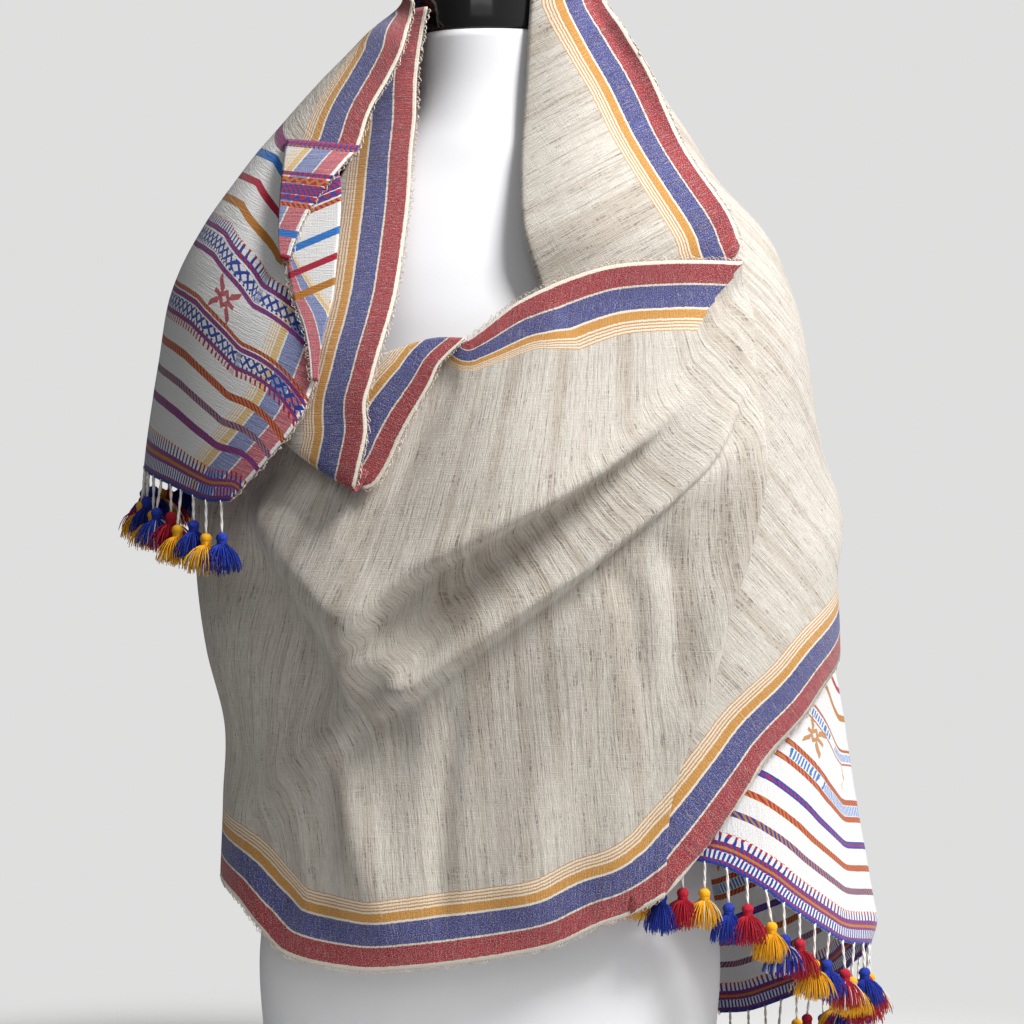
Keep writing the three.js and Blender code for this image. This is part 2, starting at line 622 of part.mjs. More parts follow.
// The front edge of the left end, turned out, and the pleat that lies over it.
const turnoutRight = seen(secondTurn, [
  [-120, 540, 16.9], [-119, 558, 16.1], [-115, 581, 14.3], [-110, 602, 11.6], [-107, 645, 9.6], [-106, 674, 8.6],
  [-107, 690, 7.6],
]);
const turnoutLeft = seen(secondTurn, [
  [-125, 541, 16.9], [-127, 562, 16.1], [-131, 580, 14.3], [-140, 604, 11.6], [-145, 632, 9.6], [-146, 660, 8.6],
  [-146, 680, 7.6],
]);
group.add(wall("end_left_turnout", stretch({
  turns: secondTurn,
  bottom: [turnoutLeft[0], turnoutRight[0]],
  top: [turnoutLeft[6], turnoutRight[6]],
  left: turnoutLeft, right: turnoutRight, across: 4, up: 8,
}), white, 1.6));

const pleatRight = seen(secondTurn, [
  [-143, 628, 12.6], [-138, 645, 12.4], [-128, 667, 11.9], [-110, 693, 10.9], [-93, 713, 5.6],
]);
const pleatLeft = seen(secondTurn, [
  [-149, 630, 12.6], [-151, 650, 12.4], [-151, 675, 11.5], [-150, 700, 8.6], [-148, 722, 3.7],
]);
group.add(wall("end_left_pleat", stretch({
  turns: secondTurn,
  bottom: [pleatLeft[0], pleatRight[0]],
  top: [pleatLeft[4], pleatRight[4]],
  left: pleatLeft, right: pleatRight, across: 4, up: 7,
}), white, 1.6));

// First turn, inside: round the back to the right end.
const backBottom = round([
  [131.2, 50, 0], [138, 84, 0], [150, 122, 0], [165, 146, 0], [180, 160, 0], [205, 180, 0], [230, 190, 0],
  [251.8, 190, 0],
]);
const backTop = round([
  [131.2, 540, -4], [160, 600, -2], [180, 620, 0], [205, 610, 0], [230, 595, 0], [251.8, 590, 0],
]);
const backLeft = round([[131.2, 50, 0], [131.2, 300, 0], [131.2, 540, -4]]);
const backRight = round([[251.8, 190, 0], [251.8, 300, 0], [251.8, 450, 0], [251.8, 590, 0]]);
const backFolds = [
  { height: 9, above: 18, below: 18, fadeIn: 0.15, fadeOut: 0.3, line: round([
    [149, 118], [153, 220], [162, 360], [178, 520]]) },
  { height: -8, above: 20, below: 20, fadeIn: 0.15, fadeOut: 0.3, line: round([
    [168, 146], [172, 240], [182, 360], [200, 500]]) },
  { height: 9, above: 24, below: 24, fadeIn: 0.15, fadeOut: 0.3, line: round([
    [194, 172], [197, 260], [206, 380], [220, 520]]) },
];
group.add(wall("back_inner", stretch({
  turns: firstTurn, bottom: backBottom, top: backTop, left: backLeft, right: backRight,
  across: 18, up: 12, folds: backFolds,
}), cream));

// The right end, hanging from under the second turn.
const endRightLine = [
  ...seen(firstTurn, [
    [64, 202, -26], [100, 201, -26], [128, 200, -24], [151, 198, -18], [168, 194, -12], [183, 186, -7],
    [199, 176, -3], [211, 167, 0], [229, 154, 0], [244, 144, 0], [260, 134, 0],
  ]),
  ...round([[88, 125, 0], [96, 112, 0], [104, 95, 0], [112, 79, 0], [120, 63, 0], [126, 53, 0], [130.9, 50, 0]]),
];
const endRightTop = [
  ...seen(firstTurn, [[64, 262, -26], [100, 290, -26], [140, 330, -22], [190, 380, -17]]),
  ...round([[85, 425, -12], [108, 480, -8], [130.9, 540, -4]]),
];
const endRightLeft = seen(firstTurn, [[64, 202, -26], [64, 232, -26], [64, 262, -26]]);
const endRightRight = round([[130.9, 50, 0], [130.9, 300, 0], [130.9, 540, -4]]);
const endRightFolds = [
  { height: 9, above: 15, below: 15, fadeIn: 0.1, fadeOut: 0.4, line: round([
    [86, 120], [88, 190], [92, 280], [100, 400]]) },
  { height: -8, above: 15, below: 15, fadeIn: 0.1, fadeOut: 0.4, line: round([
    [102, 90], [104, 170], [108, 270], [114, 400]]) },
  { height: 7, above: 13, below: 13, fadeIn: 0.1, fadeOut: 0.4, line: round([
    [118, 64], [119, 160], [120, 270], [122, 400]]) },
];
const endRight = stretch({
  turns: firstTurn, bottom: endRightLine, top: endRightTop, left: endRightLeft, right: endRightRight,
  across: 24, up: 11, folds: endRightFolds,
});
group.add(wall("end_right", endRight, white));
tasselStrips("tassels_right", endRight[0]);

export default group;
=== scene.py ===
import math

import bmesh
import bpy
import numpy as np
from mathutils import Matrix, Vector


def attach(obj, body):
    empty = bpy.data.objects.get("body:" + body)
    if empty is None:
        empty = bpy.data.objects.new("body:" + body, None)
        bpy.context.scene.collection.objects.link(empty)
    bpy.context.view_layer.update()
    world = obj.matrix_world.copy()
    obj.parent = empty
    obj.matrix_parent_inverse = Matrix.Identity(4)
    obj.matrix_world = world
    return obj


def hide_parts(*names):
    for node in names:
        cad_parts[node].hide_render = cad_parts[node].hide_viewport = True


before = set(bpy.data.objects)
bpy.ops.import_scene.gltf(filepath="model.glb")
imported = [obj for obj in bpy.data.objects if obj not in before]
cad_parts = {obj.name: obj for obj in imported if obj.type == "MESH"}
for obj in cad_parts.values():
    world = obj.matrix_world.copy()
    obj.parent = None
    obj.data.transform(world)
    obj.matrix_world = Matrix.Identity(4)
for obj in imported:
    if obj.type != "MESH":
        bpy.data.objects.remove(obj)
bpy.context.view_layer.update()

mm = 0.001
print("frame loaded")


def addObject(name, data):
    made = bpy.data.objects.new(name, data)
    bpy.context.scene.collection.objects.link(made)
    return made


def addPiece(name, mesh, material):
    mesh.polygons.foreach_set("use_smooth", [True] * len(mesh.polygons))
    mesh.materials.append(material)
    return addObject(name, mesh)


camera = {"place": (16.5, -2600, 448.5), "lens": 121.9, "sensor": 36}
eye = bpy.data.cameras.new("eye")
eye.lens = camera["lens"]
eye.sensor_width = camera["sensor"]
eyeObject = addObject("eye", eye)
eyeObject.location = Vector(camera["place"]) * mm
eyeObject.rotation_euler = (math.radians(90), 0, 0)
bpy.context.scene.camera = eyeObject


# A shader socket that can be used in sums.
class Value:
    def __init__(self, shader, socket):
        self.shader = shader
        self.socket = socket

    def sum(self, operation, *others):
        return self.shader.node("ShaderNodeMath", {"operation": operation}, dict(enumerate(others)))

    def __add__(self, other):
        return self.sum("ADD", self, other)

    def __sub__(self, other):
        return self.sum("SUBTRACT", self, other)

    def __rsub__(self, other):
        return self.sum("SUBTRACT", other, self)

    def __mul__(self, other):
        return self.sum("MULTIPLY", self, other)

    def __truediv__(self, other):
        return self.sum("DIVIDE", self, other)

    def __gt__(self, other):
        return self.sum("GREATER_THAN", self, other)

    def __lt__(self, other):
        return self.sum("LESS_THAN", self, other)

    __radd__ = __add__
    __rmul__ = __mul__


# The nodes of a material or of the world, under construction.
class Shader:
    def __init__(self, owner):
        self.owner = owner
        owner.use_nodes = True
        self.tree = owner.node_tree
        self.tree.nodes.clear()

    def feed(self, socket, value):
        if isinstance(value, Value):
            self.tree.links.new(value.socket, socket)
        elif value is not None:
            socket.default_value = value

    def node(self, kind, settings=None, sockets=None, out=0):
        made = self.tree.nodes.new(kind)
        for key, value in (settings or {}).items():
            setattr(made, key, value)
        for key, value in (sockets or {}).items():
            self.feed(made.inputs[key], value)
        return Value(self, made.outputs[out]) if made.outputs else None

    def ramp(self, value, stops, out="Color", interpolation="LINEAR"):
        made = self.tree.nodes.new("ShaderNodeValToRGB")
        ramp = made.color_ramp
        ramp.interpolation = interpolation
        while len(ramp.elements) > 1:
            ramp.elements.remove(ramp.elements[-1])
        ramp.elements[0].position, ramp.elements[0].color = stops[0]
        for place, colour in stops[1:]:
            ramp.elements.new(place).color = colour
        self.feed(made.inputs[0], value)
        return Value(self, made.outputs[out])

    def steps(self, value, stops, out="Color"):
        return self.ramp(value, stops, out, "CONSTANT")

    def attribute(self, name):
        return self.node("ShaderNodeAttribute", {"attribute_name": name}, out="Fac")

    def vector(self, x, y, z=0.0):
        return self.node("ShaderNodeCombineXYZ", None, {0: x, 1: y, 2: z})

    def noise(self, vector, scale=1.0, detail=2.0, rough=0.5):
        return self.node("ShaderNodeTexNoise", None,
                         {"Vector": vector, "Scale": scale, "Detail": detail, "Roughness": rough})

    def blend(self, share, first, second):
        return self.node("ShaderNodeMix", {"data_type": "RGBA"}, {0: share, 6: first, 7: second}, 2)

    def fade(self, value, low, high):
        return self.node("ShaderNodeMapRange", {"interpolation_type": "SMOOTHSTEP"},
                         {"Value": value, "From Min": low, "From Max": high})

    def within(self, value, low, high):
        return (value > low) * (value < high)

    def part(self, value):
        return value.sum("FRACT", value)

    def size(self, value):
        return value.sum("ABSOLUTE", value)

    def zigzag(self, value):
        return self.size(self.part(value) * 2.0 - 1.0)

    def bump(self, height, distance, strength):
        sockets = {"Height": height, "Distance": distance, "Strength": strength}
        return self.node("ShaderNodeBump", None, sockets)

    def finish(self, sockets):
        surface = self.node("ShaderNodeBsdfPrincipled", None, sockets)
        self.node("ShaderNodeOutputMaterial", None, {0: surface})
        return self.owner


def newFinish(name):
    return Shader(bpy.data.materials.new(name))


def shade(red, green, blue):  # a colour as a screen shows it, 0 to 255, as the shader's own
    def straight(channel):
        share = channel / 255
        return share / 12.92 if share <= 0.04045 else ((share + 0.055) / 1.055) ** 2.4
    return (straight(red), straight(green), straight(blue), 1.0)


def clear(colour):
    return (*colour[:3], 0.0)


# Cloth shapes.
# Sections of the form: height, side, front, back.
formRows = [
    [0, 160, 108, 112], [60, 169, 114, 119], [124, 172, 118, 122], [200, 160, 110, 112], [270, 139, 98, 98],
    [330, 122, 90, 90], [400, 128, 98, 89], [460, 141, 112, 93], [520, 150, 123, 98], [580, 157, 115, 99],
    [620, 164, 104, 94], [648, 162, 94, 87], [676, 140, 84, 80], [696, 112, 77, 75], [716, 84, 71, 72],
    [738, 65, 62, 65], [765, 56, 55, 57], [804, 52, 52, 53],
]
capRows = [
    [804.6, 52, 52, 53], [812, 53, 53, 54], [850, 51, 51, 52], [872, 45, 45, 46], [882, 34, 34, 35],
    [886, 18, 18, 19],
]
# Sections under each turn of the cloth: height, front, right, back, left.
firstTurn = [
    [30, 146, 286, 200, 205], [125, 148, 284, 190, 203], [181, 150, 276, 182, 201],
    [235, 150, 268, 174, 199], [290, 152, 262, 166, 198], [347, 157, 259, 160, 212],
    [405, 162, 254, 156, 220], [480, 165, 248, 152, 222], [560, 153, 238, 146, 216],
    [620, 137, 224, 134, 200], [660, 123, 208, 124, 172], [700, 108, 172, 112, 138], [740, 84, 130, 96, 112],
    [800, 64, 84, 78, 82], [850, 60, 64, 68, 64],
]
secondTurn = [
    [120, 150, 262, 186, 262], [290, 153, 262, 184, 262], [347, 160, 262, 182, 262],
    [405, 166, 260, 178, 262], [480, 167, 256, 173, 257], [560, 155, 247, 165, 243],
    [620, 139, 234, 155, 233], [662, 124, 217, 143, 212], [697, 110, 180, 127, 187],
    [728, 96, 156, 108, 163], [772, 76, 121, 89, 124], [800, 67, 92, 81, 96], [830, 62, 68, 75, 68],
    [870, 60, 62, 67, 60],
]
roundness = 2.2
unrollRadius = 200
clothThick = 1.2
leanReach = (26, 10)  # how far a fold's lean is felt above and below its crest
farAway = 999.0
weld = 0.00005


def smooth(value):
    t = np.clip(value, 0, 1)
    return t * t * (3 - 2 * t)


def hermite(rows, knots, values):  # smooth curve through rows at knots
    rows = np.asarray(rows, float)
    knots = np.asarray(knots, float)
    last = len(knots) - 1
    after = np.minimum(np.arange(last + 1) + 1, last)
    before = np.maximum(np.arange(last + 1) - 1, 0)
    slopes = (rows[after] - rows[before]) / (knots[after] - knots[before])[:, None]
    at = np.clip(values, knots[0], knots[-1])
    k = np.clip(np.searchsorted(knots, at, side="left") - 1, 0, last - 1)
    step = knots[k + 1] - knots[k]
    t = ((at - knots[k]) / step)[..., None]
    step = step[..., None]
    t2 = t * t
    t3 = t2 * t
    return (rows[k] * (2 * t3 - 3 * t2 + 1) + rows[k + 1] * (3 * t2 - 2 * t3)
            + slopes[k] * step * (t3 - 2 * t2 + t) + slopes[k + 1] * step * (t3 - t2))


def rowAt(table, heights):
    table = np.asarray(table, float)
    return hermite(table, table[:, 0], np.asarray(heights, float))


def acrossOval(side, depth, sine, cosine):  # from the middle line to a rounded oval
    return ((np.abs(sine) / side) ** roundness + (np.abs(cosine) / depth) ** roundness) ** (-1 / roundness)


def atReach(angle, reach, z):
    return np.stack([reach * np.sin(angle), -reach * np.cos(angle), z], axis=-1)


def reachAt(turn, angle, height):  # from the middle line to the cloth, at an angle from the front
    row = rowAt(turn, height)
    sine = np.sin(angle)
    cosine = np.cos(angle)
    side = np.where(sine >= 0, row[..., 2], row[..., 4])
    depth = np.where(cosine >= 0, row[..., 1], row[..., 3])
    return acrossOval(side, depth, sine, cosine)


def seen(turn, rows):  # rows of x, z and lift, as seen from the front
    made = []
    for row in rows:
        x, z = row[:2]
        lift = row[2] if len(row) > 2 else 0
        low, high = -math.pi / 2, math.pi / 2
        for halving in range(40):
            middle = (low + high) / 2
            if (reachAt(turn, middle, z) + lift) * math.sin(middle) < x:
                low = middle
            else:
                high = middle
        made.append([(low + high) / 2, z, lift])
    return made


def placed(turn, rows):  # rows of x, z and y
    made = []
    for x, z, y in rows:
        angle = math.atan2(x, -y)
        made.append([angle, z, math.hypot(x, y) - float(reachAt(turn, angle, z))])
    return made


def roundEdge(rows):  # rows of degrees, z and lift
    return [[math.radians(row[0]), row[1], row[2] if len(row) > 2 else 0] for row in rows]


def alongEdge(edge, shares):
    edge = np.asarray(edge, float)
    steps = np.hypot(np.diff(edge[:, 0]) * unrollRadius, np.diff(edge[:, 1]))
    knots = np.concatenate([[0], np.cumsum(steps)])
    return hermite(edge, knots, np.clip(shares, 0, 1) * knots[-1])


foldKeys = ("height", "above", "below", "fadeIn", "fadeOut", "over", "line")


def foldsSeen(turn, rows):  # folds with their lines as seen from the front
    return [dict(zip(foldKeys, (*row[:-1], seen(turn, row[-1])))) for row in rows]


def foldsRound(rows):  # folds with their lines in degrees and z
    return [dict(zip(foldKeys, (*row[:-1], roundEdge(row[-1])))) for row in rows]


# How high a fold stands at each point, and how far its crest leans over its lower side, as round and up.
def foldAt(fold, angle, z):
    px = angle * unrollRadius
    line = np.asarray(fold["line"], float)
    best = np.full(px.shape, np.inf)
    side = np.ones(px.shape)
    along = np.zeros(px.shape)
    normal = np.zeros((*px.shape, 2))
    done = 0.0
    for a, b in zip(line[:-1], line[1:]):
        ax, az = a[0] * unrollRadius, a[1]
        dx, dz = b[0] * unrollRadius - ax, b[1] - az
        span = dx * dx + dz * dz
        t = np.clip(((px - ax) * dx + (z - az) * dz) / span, 0, 1)
        gap = np.hypot(px - ax - t * dx, z - az - t * dz)
        nearer = gap < best
        best = np.where(nearer, gap, best)
        side = np.where(nearer, np.where(dx * (z - az) - dz * (px - ax) >= 0, 1, -1), side)
        along = np.where(nearer, done + t * math.sqrt(span), along)
        normal = np.where(nearer[..., None], np.array([dz, -dx]) / math.sqrt(span), normal)
        done += math.sqrt(span)
    share = along / done
    fade = smooth(share / fold["fadeIn"]) * smooth((1 - share) / fold["fadeOut"])
    width = np.where(side > 0, fold["above"], fold["below"])
    swell = fade * np.exp(-((best / width) ** 2))
    reach = np.where(side > 0, *leanReach)
    lean = fold["over"] * fade * np.exp(-((best / reach) ** 2))
    return fold["height"] * swell, normal * lean[..., None]


# The middle surface of a stretch of cloth between its four edges, as rows of points.
def stretch(turn, shape):
    u, v = [np.linspace(0, 1, count + 1) if isinstance(count, int) else count
            for count in (shape["across"], shape["up"])]
    left, right = shape["left"], shape["right"]
    bottom = shape.get("bottom", [left[0], right[0]])  # straight where none is given
    top = shape.get("top", [left[-1], right[-1]])
    low, high = alongEdge(bottom, u)[None], alongEdge(top, u)[None]
    left, right = alongEdge(left, v)[:, None], alongEdge(right, v)[:, None]
    u = u[None, :, None]
    v = v[:, None, None]
    corner = [np.asarray(c, float) for c in (bottom[0], bottom[-1], top[0], top[-1])]
    mixed = ((1 - v) * low + v * high + (1 - u) * left + u * right
             - (1 - u) * (1 - v) * corner[0] - u * (1 - v) * corner[1]
             - (1 - u) * v * corner[2] - u * v * corner[3])
    angle, z, lift = mixed[..., 0], mixed[..., 1], mixed[..., 2]
    reach = reachAt(turn, angle, z) + lift
    shift = np.zeros((*angle.shape, 2))
    for one in shape.get("folds", ()):
        high, lean = foldAt(one, angle, z)
        reach = reach + high
        shift = shift + lean
    if "ripple" in shape:  # soft unevenness: its size, then waves as (round, up, start)
        size, *waves = shape["ripple"]
        s = angle * unrollRadius
        total = sum(np.sin(s / a + z / b + start) for a, b, start in waves)
        reach = reach + size * total / len(waves)
    return atReach(angle + shift[..., 0] / reach, reach, z + shift[..., 1])


def unit(vectors):
    return vectors / np.maximum(np.linalg.norm(vectors, axis=-1, keepdims=True), 1e-9)


# Rolls the last column of a grid under into a round fold.
def foldLast(grid, radius=3.6, tail=12, steps=8):
    edge = grid[:, -1]
    alongIt = np.empty_like(edge)
    alongIt[1:-1] = edge[2:] - edge[:-2]
    alongIt[0] = edge[1] - edge[0]
    alongIt[-1] = edge[-1] - edge[-2]
    alongIt = unit(alongIt)
    outward = edge - grid[:, -2]
    outward = unit(outward - alongIt * np.sum(outward * alongIt, axis=-1, keepdims=True))
    inward = np.cross(outward, alongIt)
    facing = np.sum(inward[:, :2] * edge[:, :2], axis=-1)
    radius = np.broadcast_to(radius, len(edge))[:, None]
    inward = np.where(facing[:, None] > 0, -inward, inward)
    extra = []
    for k in range(1, steps + 1):
        turn = math.pi * k / steps
        extra.append(edge + outward * radius * math.sin(turn) + inward * radius * (1 - math.cos(turn)))
    extra.append(extra[-1] - outward * tail / 2)
    extra.append(extra[-1] - outward * tail / 2)
    return np.concatenate([grid, np.stack(extra, axis=1)], axis=1)


def foldFirst(grid, **sizes):
    return foldLast(grid[:, ::-1], **sizes)[:, ::-1]


def foldBottom(grid, **sizes):
    return np.swapaxes(foldFirst(np.swapaxes(grid, 0, 1), **sizes), 0, 1)


# Nearest distance from points to a line, and how far along the line that is.
def toLine(points, line):
    line = np.asarray(line, float)
    best = np.full(points.shape[:-1], np.inf)
    along = np.zeros(points.shape[:-1])
    done = 0.0
    for a, b in zip(line[:-1], line[1:]):
        way = b - a
        span = float(way @ way)
        if span < 1e-9:
            continue
        t = np.clip((points - a) @ way / span, 0, 1)
        gap = np.linalg.norm(points - a - t[..., None] * way, axis=-1)
        nearer = gap < best
        best = np.where(nearer, gap, best)
        along = np.where(nearer, done + t * math.sqrt(span), along)
        done += math.sqrt(span)
    return best, along


def unrolled(points):  # distance round the body, and height
    return np.arctan2(points[..., 0], -points[..., 1]) * unrollRadius, points[..., 2]


def pointsOf(turn, edge, count=80):
    rows = alongEdge(edge, np.linspace(0, 1, count))
    return atReach(rows[:, 0], reachAt(turn, rows[:, 0], rows[:, 1]) + rows[:, 2], rows[:, 1])


paintNames = ("along", "across", "neckEdge", "hemEdge", "endLine", "toJoin", "bandAcross")


# One mesh object from several grids of points that meet, with what the weave needs to know at each point.
def clothPiece(name, grids, material, thick=clothThick):
    points, faces, paint = [], [], {key: [] for key in paintNames}
    for grid, marks in grids:
        rows, columns = grid.shape[:2]
        first = len(points)
        points.extend(grid.reshape(-1, 3) * mm)
        for key in paintNames:
            values = np.broadcast_to(marks.get(key, farAway), (rows, columns))
            paint[key].extend(values.reshape(-1))
        for j in range(rows - 1):
            for i in range(columns - 1):
                a = first + j * columns + i
                faces.append((a, a + 1, a + columns + 1, a + columns))
    mesh = bpy.data.meshes.new(name)
    mesh.from_pydata([tuple(p) for p in points], [], faces)
    for key in paintNames:
        layer = mesh.attributes.new(key, "FLOAT", "POINT")
        layer.data.foreach_set("value", np.asarray(paint[key], np.float32))
    if len(grids) > 1:
        work = bmesh.new()
        work.from_mesh(mesh)
        bmesh.ops.remove_doubles(work, verts=work.verts, dist=weld)
        bmesh.ops.recalc_face_normals(work, faces=work.faces)
        work.to_mesh(mesh)
        work.free()
    piece = addPiece(name, mesh, material)
    wall = piece.modifiers.new("wall", "SOLIDIFY")
    wall.thickness = thick * mm
    wall.offset = 0
    return piece


# Cloth finish.
dye = {
    "cream": shade(222, 214, 200), "red": shade(152, 28, 46), "blue": shade(52, 62, 130),
    "mustard": shade(192, 134, 46), "body": shade(205, 196, 184), "white": shade(232, 231, 230),
    "paleRed": shade(196, 96, 112), "paleBlue": shade(122, 136, 188), "paleMustard": shade(222, 186, 124),
    "crimson": shade(166, 22, 52), "royal": shade(28, 58, 150), "ochre": shade(178, 116, 40),
    "bright": shade(38, 112, 190),
}
# Border stripes: from, to, dye; millimetres in from the edge.
borderStripes = [
    (0, 2.4, "cream"), (2.4, 16.2, "red"), (16.2, 17.8, "cream"), (17.8, 33.6, "blue"),
    (33.6, 35.2, "cream"), (35.2, 41.6, "mustard"), (41.6, 43.0, "cream"), (43.0, 44.1, "mustard"),
    (44.1, 45.4, "cream"), (45.4, 46.4, "mustard"), (46.4, 47.8, "cream"), (47.8, 48.7, "mustard"),
    (48.7, 50.0, "cream"), (50.0, 50.8, "mustard"),
]
stripeReach = 60.0
pale = {"red": "paleRed", "blue": "paleBlue", "mustard": "paleMustard", "cream": "white"}
# Bands of coloured threads across the ends: from, to, two yarns, kind of pattern; millimetres from the end.
rimBands = [
    (0, 2, "royal", "royal", "twill"), (2, 4, "crimson", "royal", "twill"), (4, 10, "royal", None, "ladder"),
    (10, 12, "crimson", "royal", "twill"), (12, 14, "ochre", "ochre", "twill"),
]
joinBands = [
    (237, 242, "royal", "crimson", "cross"), (243, 251, "crimson", "royal", "twill"),
    (252, 257, "ochre", "crimson", "cross"), (258, 262, "royal", "crimson", "comb"),
    (284, 286, "royal", "ochre", "twill"), (286, 292, "royal", "crimson", "comb"),
]
leftEnd = [
    *rimBands, (14, 16, "royal", "crimson", "twill"), (16, 20, "royal", None, "comb"),
    (20, 22.5, "crimson", None, "comb"), (36, 41, "crimson", "royal", "twill"),
    (53, 58, "royal", "ochre", "twill"), (71, 76, "crimson", "ochre", "twill"),
    (88, 92, "crimson", None, "comb"), (92, 95, "royal", "crimson", "twill"),
    (95, 97, "royal", None, "comb"), (97, 104, "royal", None, "cross"),
    (105, 108, "crimson", "royal", "twill"), (109, 112, "crimson", "ochre", "twill"),
    (136, 139, "crimson", "royal", "twill"), (140, 142, "royal", None, "comb"),
    (142, 150, "royal", None, "cross"), (151, 155, "royal", "crimson", "twill"),
    (155, 159, "royal", None, "comb"), (159, 161, "crimson", None, "comb"),
    (172, 177, "ochre", "ochre", "twill"), (190, 195, "crimson", "crimson", "twill"),
    (208, 214, "bright", "bright", "twill"), (232, 236, "crimson", "ochre", "twill"), *joinBands,
]
rightEnd = [
    *rimBands, (14, 17, "royal", "crimson", "twill"), (17, 21, "royal", None, "comb"),
    (21, 23.5, "crimson", None, "comb"), (36, 40.5, "ochre", "royal", "twill"),
    (53, 58, "crimson", "ochre", "twill"), (70, 71.6, "royal", "royal", "twill"),
    (71.6, 73.6, "crimson", "royal", "twill"), (73.6, 75.2, "royal", "royal", "twill"),
    (90, 94, "crimson", "ochre", "twill"), (94.5, 102, "bright", None, "ladder"),
    (102.5, 106.5, "crimson", "ochre", "twill"), (132, 134, "crimson", "ochre", "twill"),
    (135, 141, "bright", None, "ladder"), (142, 144, "crimson", "ochre", "twill"),
    (166, 171, "ochre", "ochre", "twill"), (188, 193, "crimson", "crimson", "twill"),
    (206, 212, "bright", "bright", "twill"), (232, 236, "crimson", "ochre", "twill"), *joinBands,
]


# Stops of a stepped ramp for coloured bands on nothing.
def bandStops(bands, reach):
    stops = [(0.0, clear(dye["white"]))]
    for low, high, name in bands:
        if abs(stops[-1][0] - low / reach) < 1e-6:
            stops.pop()
        stops.append((low / reach, dye[name] if name else clear(dye["white"])))
        stops.append((high / reach, clear(dye["white"])))
    return stops


endLong = 292.0  # millimetres of white end
star = {"apart": 110.0, "level": 124.0, "size": 11.0}


